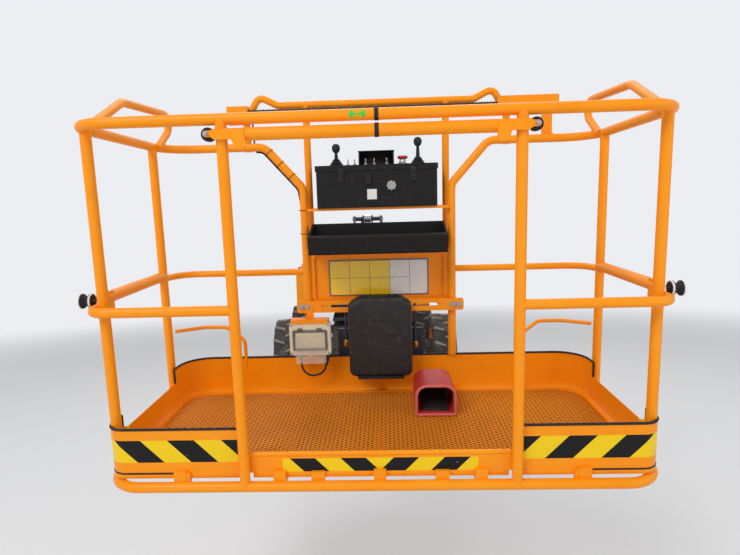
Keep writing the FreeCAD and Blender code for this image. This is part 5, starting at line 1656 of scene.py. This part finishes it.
@dataclass
class SmallFittings:
    """Straps and marker disc on the rails, rollers, the foot guard's rim and the socket's fine parts."""

    finishes: Finishes
    fasteners: Fasteners
    at: Matrix
    rail: float = 0.017
    rail_z: float = 1.150
    bar_z: float = 1.105
    disc_x: float = -0.036
    disc_width: float = 0.024
    disc_height: float = 0.017
    roller: tuple[float, float, float] = (0.913, 0.078, 0.607)

    def build(self) -> None:
        """Builds the fittings."""
        self._straps()
        self._disc()
        self._rollers()
        self._roller_highlights()
        self._guide_tyres()
        self._foot_rim()
        self._socket()

    def _straps(self) -> None:
        """Rubber straps round the top rail and the entry bar."""
        for name, body, y, z, radius in (("rail_strap", "platform", 0.0, self.rail_z, self.rail),
                                         ("bar_strap", "entry_bar", -0.004, self.bar_z, 0.019)):
            strap = Shape(self.at)
            strap.lathe([(0, radius), (0, radius + 0.0016), (0.012, radius + 0.0016), (0.012, radius)],
                        (0.012, y, z), (1, 0, 0), 24)
            strap.piece(name, body, self.finishes.rubber)

    def _disc(self) -> None:
        """Green marker stuck on the front of the top rail."""
        disc = Shape(self.at)
        lift = self.rail + 0.0007
        rim = []
        for a, b in circle(24):
            x, turn = self.disc_x + self.disc_width * a, self.disc_height * b / self.rail
            rim.append((x, -lift * math.cos(turn), self.rail_z + lift * math.sin(turn)))
        count = len(rim)
        fan = [(k, (k + 1) % count, count) for k in range(count)]
        disc.add(rim + [(self.disc_x, -lift, self.rail_z)], fan)
        back = [(x, y * 0.93, (z - self.rail_z) * 0.93 + self.rail_z) for x, y, z in rim]
        disc.rings([rim, back], close_ends=False)
        disc.piece("marker_disc", "platform", self.finishes.marker)

    def _rollers(self) -> None:
        """Hourglass bumper rollers, which stand for the plain ones."""
        out, y, z = self.roller
        black = Shape(self.at)
        for side in (-1, 1):
            black.lathe([(0, 0.010), (0.002, 0.022), (0.004, 0.024), (0.010, 0.024), (0.014, 0.019),
                         (0.021, 0.014), (0.028, 0.019), (0.032, 0.024), (0.038, 0.024), (0.0405, 0.022),
                         (0.042, 0.010)], (side * out, y, z), (side, 0, 0), 28)
        made = black.piece("bumper_rollers", "platform", self.finishes.rubber, "black_plastic")
        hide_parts("bumpers")

    def _roller_highlights(self) -> None:
        """White rings on the bumper rollers' ends, painted highlights of their edges, and their axles."""
        out, y, z = self.roller
        section = ((0.0195, 0.0), (0.0215, 0.0022), (0.0238, 0.0022), (0.0250, 0.0), (0.0246, -0.0030))
        # the white rings are painted highlights on the edges of the rollers' discs
        highlight_rings, axle = Shape(self.at), Shape(self.at)
        for side in (-1, 1):
            for reach, way in ((0.0035, -1), (0.0385, 1)):
                rows = [[(side * (out + reach + way * proud), y + a, z + b) for a, b in circle(32, radius)]
                        for radius, proud in section]
                highlight_rings.rings(rows, close_ends=False)
            axle.lathe([(0.040, 0.0075), (0.0445, 0.0075), (0.0445, 0.0)],
                       (side * out, y, z), (side, 0, 0), 6)
            axle.lathe([(-0.006, 0.006), (0.0405, 0.006)], (side * out, y, z), (side, 0, 0), 12)
        highlight_rings.piece("bumper_edge_highlights", "platform", self.finishes.white)
        axle.piece("bumper_axles", "platform", self.finishes.iron)

    def _guide_tyres(self) -> None:
        """Rubber tyres of the entry bar's guide rollers, with their axle nuts."""
        tyres, places = Shape(self.at), []
        for side in (-1, 1):
            x, z = side * 0.4723, 1.107
            tyres.lathe([(-0.0112, 0.0130), (-0.0112, 0.0192), (-0.0090, 0.0202), (0.0090, 0.0202),
                         (0.0112, 0.0192), (0.0112, 0.0130)], (x, 0.0, z), (0, 1, 0), 28)
            places.append(((x, -0.031, z), (0, -1, 0)))
        tyres.piece("guide_roller_tyres", "entry_bar", self.finishes.rubber)
        self.fasteners.on("guide_roller_nuts", "entry_bar", places, 0.0062, self.at)

    def _foot_rim(self) -> None:
        """Rolled rim round the mouth of the foot switch's guard."""
        shape = Shape(self.at)
        outline = plate(0.1395, 0.0600, 0.2905, 0.1765, [0.006, 0.006, 0.0405, 0.0405], 8)
        shape.tube([(x, 0.4085, z) for x, z in outline], 0.0058, 10, loop=True)
        shape.piece("foot_guard_rim", "platform", self.finishes.red_faded, "red_plastic")

    def _socket(self) -> None:
        """Screws and ribs of the socket housing, and the hinge of its flap."""
        places = [((x, 0.640, z), (0, -1, 0)) for x in (-0.384, -0.223) for z in (0.248, 0.372)]
        self.fasteners.on("socket_screws", "platform", places, 0.0042, self.at)
        inner = Shape(self.at)
        inner.bezel(plate(-0.378, 0.262, -0.229, 0.352, 0.006, 3),
                    plate(-0.368, 0.272, -0.239, 0.342, 0.004, 3), 0.641, 0.634)
        for x in (-0.345, -0.262):
            inner.lathe([(0, 0.005), (0.022, 0.005), (0.022, 0)], (x - 0.011, 0.632, 0.356), (1, 0, 0), 12)
        inner.piece("socket_bezel", "platform", self.finishes.steel_grey, bevel=0.0006)


@dataclass
class Rigging:
    """Cable tied along the left bent tube, steel lines with brass unions behind the rear board."""

    finishes: Finishes
    at: Matrix
    tube: float = 0.017
    cable: float = 0.0036
    arch: float = 1.130
    tie: float = 0.0212
    tie_wire: float = 0.0013
    slant: tuple[float, float, float] = (0.663, 0, -0.7485)

    def build(self) -> None:
        """Builds the cable, its ties and the lines."""
        low = self.arch - self.tube - self.cable
        path = [(-0.552, 0.770, 1.256), (-0.526, 0.766, 1.236), (-0.520, 0.746, 1.165),
                (-0.516, 0.7425, 1.122), (-0.504, 0.724, low), (-0.4794, 0.720, low),
                (-0.336, 0.720, 0.9471), (-0.3245, 0.7395, 0.830), (-0.3245, 0.7395, 0.238)]
        shape = Shape(self.at)
        shape.tube(bent(path, [0, 0.010, 0.015, 0.010, 0.008, 0.036, 0.039, 0.060, 0], 5), self.cable, 10)
        slant = Vector(self.slant)
        aside = Vector((slant.z, 0, -slant.x)) * 0.0035
        for middle in ((-0.4500, 0.720, 1.1074), (-0.4060, 0.720, 1.0577), (-0.3600, 0.720, 1.0058)):
            self._tie(shape, Vector(middle) + aside, slant)
        for z in (0.86, 0.76, 0.36, 0.27):
            self._tie(shape, Vector((-0.3165, 0.7235, z)), Vector((0, 0, 1)))
        shape.piece("tied_cable", "platform", self.finishes.rubber, "black_plastic")
        self._lines()

    def _tie(self, shape: Shape, middle: Vector, way: Vector) -> None:
        """Adds one tie round tube and cable.

        Args:
            shape: The shape that it is added to.
            middle: The tie's middle.
            way: The way that tube and cable run there.
        """
        first = way.orthogonal().normalized()
        second = way.cross(first)
        ring = [middle + (first * a + second * b) * self.tie for a, b in circle(20)]
        shape.tube(ring, self.tie_wire, 6, loop=True)

    def _lines(self) -> None:
        """Adds two steel lines up from brass unions on the bracket behind the platform."""
        brass, line = Shape(self.at), Shape(self.at)
        y = 0.7105
        for x, z in ((-0.152, 0.262), (0.152, 0.250)):
            brass.lathe([(0, 0.0150), (0.009, 0.0150), (0.009, 0.0105), (0.016, 0.0105)],
                        (x, 0.7335, z), (0, -1, 0), 6)
            brass.lathe([(0, 0.0125), (0.012, 0.0125), (0.012, 0.0095), (0.018, 0.0095)],
                        (x, y, z + 0.008), (0, 0, 1), 6)
            elbow = [(x, 0.722, z), (x, y, z), (x, y, z + 0.020)]
            brass.tube(bent(elbow, [0, 0.009, 0], 4), 0.0085, 12)
            run = [(x, y, z + 0.018), (x, y, 0.400), (x, 0.730, 0.432), (x, 0.730, 0.454)]
            line.tube(bent(run, [0, 0.020, 0.015, 0], 5), 0.0055, 10)
        brass.piece("brass_unions", "platform", self.finishes.brass, bevel=0.0004)
        line.piece("bracket_lines", "platform", self.finishes.slate, "boom_paint")


@dataclass
class SocketLead:
    """Short lead that loops below the socket housing from its gland into a plug."""

    finishes: Finishes
    at: Matrix
    diameter: float = 0.009
    length: float = 0.2155
    exit: tuple[float, float, float] = (-0.350, 0.662, 0.240)
    plug: tuple[float, float, float] = (-0.240, 0.662, 0.240)

    def build(self) -> None:
        """Builds the lead, its gland and its plug."""
        route = [self.exit, (-0.350, 0.662, 0.214), (-0.346, 0.661, 0.168), (-0.316, 0.660, 0.140),
                 (-0.272, 0.660, 0.144), (-0.243, 0.661, 0.168), (-0.240, 0.662, 0.196)]
        curve = bpy.data.curves.new("socket_lead", "CURVE")
        curve.dimensions = "3D"
        spline = curve.splines.new("NURBS")
        spline.points.add(len(route) - 1)
        for point, place in zip(spline.points, route):
            point.co = (*(self.at @ Vector(place)), 1.0)
        spline.order_u = 3
        spline.use_endpoint_u = True
        spline.resolution_u = 8
        curve.bevel_depth = self.diameter / 2
        curve.bevel_resolution = 3
        curve.use_fill_caps = True
        curve.materials.append(self.finishes.rubber)
        lead = bpy.data.objects.new("socket_lead", curve)
        bpy.context.scene.collection.objects.link(lead)
        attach(lead, "platform")
        gland = Shape(self.at)
        gland.lathe([(-0.002, 0.0), (-0.002, 0.0115), (0.006, 0.0115), (0.007, 0.0090), (0.020, 0.0068),
                     (0.030, 0.0056), (0.030, 0.0)], self.exit, (0, 0, -1), 20)
        gland.piece("lead_gland", "platform", self.finishes.rubber, "black_plastic")
        plug = Shape(self.at)
        plug.lathe([(-0.002, 0.0), (-0.002, 0.0160), (0.012, 0.0160), (0.014, 0.0140), (0.034, 0.0130),
                    (0.038, 0.0085), (0.050, 0.0060), (0.050, 0.0)], self.plug, (0, 0, -1), 24)
        made = plug.piece("lead_plug", "platform", self.finishes.black, "black_plastic")
        tuple(self.at @ Vector(route[0]))


def along(start: Point, axis: Point) -> Matrix:
    """Frame at a point whose -Y runs along an axis, with X across the machine.

    Args:
        start: The frame's origin.
        axis: The direction of its -Y.

    Returns:
        The frame.
    """
    back = -Vector(axis).normalized()
    across = Vector((1, 0, 0))
    up = across.cross(back)
    turn = Matrix((across, back, up)).transposed().to_4x4()
    return Matrix.Translation(start) @ turn


@dataclass
class LineSet:
    """Pipes along a straight boom, with bent ends that enter it, in clamps that one tree sets in a row."""

    finishes: Finishes
    fasteners: Fasteners
    end_margin: float = 0.15
    clamp_width: float = 0.026
    bolt_offset: float = 0.017

    def _clamp_tree(self) -> Tree:
        """Makes the tree of clamp blocks in a row.

        Returns:
            The tree.
        """
        tree = Tree("pipe_clamps", count=6, pitch=0.5, tall=0.10, deep=0.02, wide=0.03)
        deep, wide, tall = tree.size("deep"), tree.size("wide"), tree.size("tall")
        block = tree.geometry("GeometryNodeMeshCube", {"Size": tree.vector(deep, wide, tall)})
        strap = tree.geometry("GeometryNodeMeshCube", {
            "Size": tree.vector(deep * 1.12, wide * 0.6, tall * 1.04)})
        row = tree.geometry("GeometryNodeMeshLine", {
            "Count": tree.size("count"), "Offset": tree.vector(0.0, tree.size("pitch") * -1.0, 0.0)})
        set_on = tree.geometry("GeometryNodeInstanceOnPoints", {
            "Points": row, "Instance": tree.join(block, strap)})
        tree.finish(set_on, self.finishes.black)
        return tree

    def lay(self, name: str, body: str, at: Matrix, wall: float, heights: Sequence[tuple[float, float]],
            start: float, end: float, clamps: int) -> None:
        """Lays pipes along a boom's side.

        Args:
            name: First part of the pieces' names.
            body: The body that they ride on.
            at: The boom's frame, its -Y along the boom.
            wall: Where the boom's side stands, with the side's sign.
            heights: Pairs of height and radius of each pipe.
            start: Where the pipes leave the boom, measured along it.
            end: Where they enter it again.
            clamps: How many clamps hold them.
        """
        side = 1 if wall > 0 else -1
        widest = max(radius for _, radius in heights)
        reach = wall + side * (widest + 0.006)
        pipes, unions = Shape(at), Shape(at)
        for z, radius in heights:
            sunk = wall - side * 0.004
            path = [(sunk, -start, z), (reach, -start, z), (reach, -end, z), (sunk, -end, z)]
            bend = min(0.012, abs(reach - wall))
            pipes.tube(bent(path, [0, bend, bend, 0], 5), radius, 10)
            for y in (-start, -end):
                unions.lathe([(-0.003, radius * 1.7), (0.005, radius * 1.7), (0.006, radius * 1.4),
                              (0.008, 0.0)], (wall, y, z), (side, 0, 0), 6)
        pipes.piece(name + "_pipes", body, self.finishes.zinc)
        unions.piece(name + "_unions", body, self.finishes.brass)
        low, high = min(z for z, _ in heights), max(z for z, _ in heights)
        pitch = (end - start - 2 * self.end_margin) / (clamps - 1)
        tall, deep = high - low + 0.050, 2 * widest + 0.016
        first = -start - self.end_margin
        middle = Matrix.Translation((wall + side * deep / 2, first, (low + high) / 2))
        mesh = self._clamp_tree().grow(seed(name + "_seed"), at @ middle, count=clamps, pitch=pitch,
                                       tall=tall, deep=deep, wide=self.clamp_width)
        settle(mesh, name + "_clamps", body, self.finishes.black, bevel=0.0015)
        bolts = [((wall + side * deep * 1.06, first - pitch * k, z), (side, 0, 0))
                 for k in range(clamps) for z in (low - self.bolt_offset, high + self.bolt_offset)]
        self.fasteners.on(name + "_clamp_bolts", body, bolts, 0.0065, at)


@dataclass
class Booms:
    """Pipes, covers, collar bolts and weld beads of the booms, and the ports of their cylinders."""

    finishes: Finishes
    fasteners: Fasteners
    half_width: float = 0.100
    half_height: float = 0.145
    collar: float = 3.915
    collar_side: float = 0.112
    collar_top: float = 0.157
    weld: float = 3.869
    cover_half: float = 0.070
    cover_proud: float = 0.003

    def build(self) -> None:
        """Builds the parts on each boom."""
        main = along(joint("main_lift")["pos_m"], joint("fly_extend")["axis"])
        lines = LineSet(self.finishes, self.fasteners)
        lines.lay("main_boom", "main_boom", main, self.half_width,
                  ((-0.035, 0.008), (-0.005, 0.010), (0.030, 0.008)), 0.70, 3.70, 7)
        start, end = Vector(joint("jib_lift")["pos_m"]), Vector(joint("jib_head_level")["pos_m"])
        jib = along(start, end - start)
        lines.lay("jib", "jib_arm", jib, -0.055, ((-0.012, 0.006), (0.012, 0.006)), 0.26, 1.06, 3)
        self._collar(main)
        self._covers(main)
        self._ports()

    def _collar(self, at: Matrix) -> None:
        """Adds the bolts of the wear pads and the bead that welds the collar on.

        Args:
            at: The boom's frame, its -Y along the boom.
        """
        places = []
        for side in (-1, 1):
            for z in (-0.105, -0.035, 0.035, 0.105):
                places.append(((side * self.collar_side, -self.collar, z), (side, 0, 0)))
            for x in (-0.06, 0.0, 0.06):
                places.append(((x, -self.collar, side * self.collar_top), (0, 0, side)))
        self.fasteners.on("collar_bolts", "main_boom", places, 0.011, at)
        bead = Shape(at)
        w, h, y = self.half_width + 0.002, self.half_height + 0.002, -self.weld
        corners = [(-w, y, 0), (-w, y, -h), (w, y, -h), (w, y, h), (-w, y, h), (-w, y, 0.001)]
        bead.tube(bent(corners, [0, 0.004, 0.004, 0.004, 0.004, 0], 3), 0.0042, 8)
        bead.piece("collar_weld", "main_boom", self.finishes.slate, "boom_paint")

    def _covers(self, at: Matrix) -> None:
        """Adds bolted covers over the openings in the boom's sides.

        Args:
            at: The boom's frame, its -Y along the boom.
        """
        shape, places = Shape(at), []
        for side, first, last in ((-1, 0.55, 0.90), (-1, 2.85, 3.25), (1, 0.38, 0.62)):
            wall = side * self.half_width
            proud = wall + side * self.cover_proud
            plan = plate(-last, -self.cover_half, -first, self.cover_half, 0.022)
            shape.bar(plan, wall - side * 0.001, proud)
            for y in (-last + 0.022, -(first + last) / 2, -first - 0.022):
                for z in (-0.052, 0.052):
                    places.append(((proud, y, z), (side, 0, 0)))
        shape.piece("boom_covers", "main_boom", self.finishes.slate, "boom_paint", bevel=0.0008)
        self.fasteners.on("cover_bolts", "main_boom", places, 0.0075, at)

    def _ports(self) -> None:
        """Port blocks and the hard line along each cylinder's barrel."""
        cylinders = (  # name, barrel radius, places of the ports along it
            ("tower", 0.052, 0.14, 0.74), ("lift", 0.058, 0.15, 0.98),
            ("level", 0.028, 0.10, 0.29), ("jib", 0.031, 0.11, 0.45),
        )
        for name, radius, first, last in cylinders:
            body = name + "_barrel"
            at = along(joint(body + "_turn")["pos_m"], joint(name + "_rod_slide")["axis"])
            blocks, line = Shape(at), Shape(at)
            x = radius + 0.004
            for y in (-first, -last):
                blocks.box((radius - 0.004, y - 0.014, -0.012), (radius + 0.013, y + 0.014, 0.012))
                blocks.lathe([(0, 0.0085), (0.009, 0.0085), (0.009, 0.006), (0.013, 0.006)],
                             (x, y, 0.012), (0, 0, 1), 6)
            run = [(x, -last, 0.022), (x, -last, 0.036), (x, -first, 0.036), (x, -first, 0.022)]
            line.tube(bent(run, [0, 0.010, 0.010, 0], 4), 0.0048, 10)
            blocks.piece(body + "_ports", body, self.finishes.charcoal, bevel=0.0012)
            line.piece(body + "_line", body, self.finishes.zinc)


@dataclass
class Turntable:
    """Edging, ribs and latch screws of the hoods, slew ring bolts, tail bolts and lifting eyes."""

    finishes: Finishes
    fasteners: Fasteners
    ring: float = 0.325
    ring_bolts: int = 32
    deck: float = 0.110
    cheeks: tuple[float, float] = (0.125, 0.205)
    hood_inner: float = 0.440
    hood_outer: float = 0.900
    hood_low: float = 0.926
    tail: float = 1.250
    tail_top: float = 1.480
    eye: float = 0.030

    def build(self) -> None:
        """Builds the parts."""
        slew = Vector(joint("slew")["pos_m"])
        near, far = self.cheeks
        places = [((x, slew.y + y, slew.z + self.deck), (0, 0, 1))
                  for y, x in circle(self.ring_bolts, self.ring, 0.5) if not near < abs(x) < far]
        self.fasteners.on("slew_ring_bolts", "turntable", places, 0.012)
        for side, name in ((1, "hood_right"), (-1, "hood_left")):
            self._hood(side, name, slew.y)
        self._tail(slew.y)

    def _hood(self, side: int, name: str, middle: float) -> None:
        """Adds a hood's rubber edging, its moulded ribs and the screws of its latches.

        Args:
            side: The sign of the hood's side.
            name: The hood's body.
            middle: Place of the slew axis along the machine.
        """
        x0, x1, z0 = self.hood_inner, self.hood_outer, self.hood_low
        front, rear = middle - 0.700, middle + 0.990
        edge = Shape()
        path = [(side * x, y, z0) for x, y in ((x0, front), (x1, front), (x1, rear), (x0, rear))]
        edge.tube(bent(path, [0, 0.012, 0.012, 0], 4), 0.0068, 8)
        edge.piece(name + "_edging", name, self.finishes.rubber, "black_plastic")
        rib = Shape()
        for z in (1.13, 1.19, 1.25):
            outline = plate(front + 0.06, z - 0.009, front + 0.70, z + 0.009, 0.0085, 4)
            rib.bar(outline, side * (x1 - 0.001), side * (x1 + 0.0045))
        rib.piece(name + "_ribs", name, self.finishes.orange, "orange_paint", bevel=0.0015)
        places = []
        for y in (front + 0.230, rear - 0.180):
            for dy in (-0.053, 0.053):
                for dz in (-0.029, 0.029):
                    places.append(((side * (x1 + 0.005), y + dy, z0 + 0.059 + dz), (side, 0, 0)))
        self.fasteners.on(name + "_latch_screws", name, places, 0.0042)

    def _tail(self, middle: float) -> None:
        """Adds bolts in sunk seats on the tail weight, and its lifting eyes.

        Args:
            middle: Place of the slew axis along the machine.
        """
        back = middle + self.tail
        places = [((x, back, z), (0, 1, 0)) for x in (-0.44, -0.24, 0.24, 0.44) for z in (1.02, 1.36)]
        self.fasteners.on("tail_weight_bolts", "turntable", places, 0.021)
        seat = Shape()
        for (x, y, z), way in places:
            seat.lathe([(-0.002, 0.036), (0.002, 0.036), (0.003, 0.030), (0.003, 0.0)], (x, y, z), way, 24)
        seat.piece("tail_bolt_seats", "turntable", self.finishes.charcoal, "chassis_paint")
        eyes = Shape()
        y, top = back - 0.125, self.tail_top
        for x in (-0.62, 0.62):
            eyes.lathe([(-0.002, 0.034), (0.010, 0.034), (0.016, 0.022), (0.016, 0.0)],
                       (x, y, top), (0, 0, 1), 24)
            ring = [(x + a, y, top + 0.046 + b) for a, b in circle(24, self.eye)]
            eyes.tube(ring, 0.0085, 10, loop=True)
        eyes.piece("lifting_eyes", "turntable", self.finishes.charcoal, "chassis_paint")


# Stage


@dataclass
class Studio:
    """Pale floor and backdrop, soft lamps and the camera at the photograph's viewing angle."""

    platform: Matrix
    image_width: int = 740
    focal_pixels: float = 536.84
    sensor: float = 36.0
    eye: tuple[float, float, float] = (0.045, -1.595, 0.926)
    yaw_deg: float = 2.11
    pitch_deg: float = -8.94
    roll_deg: float = 1.67
    floor_half: float = 60.0
    ambient: float = 0.46
    aim: tuple[float, float, float] = (0, -2.5, 1.0)
    backdrop: Colour = srgb(236, 238, 242)

    def build(self) -> None:
        """Builds the stage."""
        self._camera()
        self._floor()
        self._lamps()
        bpy.context.scene.view_settings.view_transform = "Standard"

    def _camera(self) -> None:
        """Sets the camera in the platform's frame."""
        data = bpy.data.cameras.new("camera")
        data.sensor_width = self.sensor
        data.lens = self.sensor * self.focal_pixels / self.image_width
        data.clip_end = 200.0
        made = bpy.data.objects.new("camera", data)
        stand = self.platform @ Matrix.Translation(self.eye)
        for degrees, axis in ((self.yaw_deg, "Z"), (self.pitch_deg, "X"), (self.roll_deg, "Y"), (90, "X")):
            stand = stand @ Matrix.Rotation(math.radians(degrees), 4, axis)
        made.matrix_world = stand
        bpy.context.scene.collection.objects.link(made)
        bpy.context.scene.camera = made

    def _floor(self) -> None:
        """Pale floor that fades into the backdrop with distance."""
        mesh = bpy.data.meshes.new("studio_floor")
        half = self.floor_half
        corners = [(-half, -half, 0), (half, -half, 0), (half, half, 0), (-half, half, 0)]
        mesh.from_pydata(corners, [], [(0, 1, 2, 3)])
        made = bpy.data.objects.new("studio_floor", mesh)
        bpy.context.scene.collection.objects.link(made)
        shader = Shader("studio_floor", 0.9)
        shader.colour(srgb(238, 238, 238))
        x, y, _ = shader.axes(shader.place())
        away = ((x * x + y * y) / 100.0).step(0.10, 1.6)
        far = shader.node("ShaderNodeEmission", None, {"Color": self.backdrop})
        blend = shader.node("ShaderNodeMixShader", None, {
            0: away, 1: shader.surface.outputs["BSDF"], 2: far.outputs["Emission"]})
        out = next(node for node in shader.tree.nodes if node.type == "OUTPUT_MATERIAL")
        shader.tree.links.new(blend.outputs["Shader"], out.inputs["Surface"])
        mesh.materials.append(shader.material)

    def _lamps(self) -> None:
        """World light and three soft lamps."""
        world = bpy.data.worlds.new("studio_world")
        world.use_nodes = True
        kit = NodeKit(world.node_tree)
        background = world.node_tree.nodes["Background"]
        background.inputs["Color"].default_value = (*self.backdrop, 1.0)
        background.inputs["Strength"].default_value = self.ambient
        rays = kit.node("ShaderNodeLightPath")
        seen = kit.value("ShaderNodeMath", {"operation": "MAXIMUM"}, {
            0: rays.outputs["Is Camera Ray"], 1: rays.outputs["Is Glossy Ray"]})
        kit.connect(self.ambient + seen * (1.0 - self.ambient), background.inputs["Strength"])
        bpy.context.scene.world = world
        lamps = [  # name, place, size, watts
            ("key", (-4.5, -9.5, 7.5), 4.0, 420),
            ("fill", (6.0, -8.0, 4.0), 5.0, 120),
            ("top", (0.5, 1.0, 8.5), 6.0, 260),
        ]
        for name, place, size, watts in lamps:
            data = bpy.data.lights.new(name, "AREA")
            data.size = size
            data.energy = watts
            made = bpy.data.objects.new(name, data)
            made.location = place
            toward = Vector(self.aim) - made.location
            made.rotation_euler = toward.to_track_quat("-Z", "Y").to_euler()
            bpy.context.scene.collection.objects.link(made)


def dress(finishes: Finishes) -> None:
    """Gives every CAD node its finish.

    Args:
        finishes: The materials.
    """
    by_slot = {
        "orange_paint": finishes.orange, "boom_paint": finishes.slate, "cylinder_paint": finishes.charcoal,
        "chrome_rod": finishes.chrome, "chassis_paint": finishes.charcoal, "engine_iron": finishes.iron,
        "tyre_rubber": finishes.tyre, "rim_paint": finishes.rim, "black_plastic": finishes.black,
        "cream_plastic": finishes.cream, "clear_plastic": finishes.clear, "red_plastic": finishes.red,
    }
    own = {"toe_boards": finishes.toe, "socket_box": finishes.socket, "console_box": finishes.black_clean,
           "parts_tray": finishes.black_clean}
    for part in frame["record"]["subparts"]:
        node = frame["nodes"][part["node"]]
        material = own.get(part["node"], by_slot[part["material_slot"]])
        node.data.materials.clear()
        node.data.materials.append(material)


def main() -> None:
    """Builds the scene in order."""
    logging.basicConfig(level=logging.INFO, format="%(message)s")
    platform = PlatformFrame().matrix()
    Studio(platform).build()
    finishes = Finishes(platform)
    dress(finishes)
    fasteners = Fasteners(finishes)
    SocketLead(finishes, platform).build()
    for part in (
        Wheels(finishes, fasteners), Floor(finishes, platform), ToeTrim(finishes, platform),
        SpiralWrap(finishes, platform), Console(finishes, platform),
        BackPanel(finishes, fasteners, platform), SmallFittings(finishes, fasteners, platform),
        Rigging(finishes, platform), Booms(finishes, fasteners), Turntable(finishes, fasteners),
    ):
        part.build()
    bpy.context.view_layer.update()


if __name__ == "__main__":
    main()
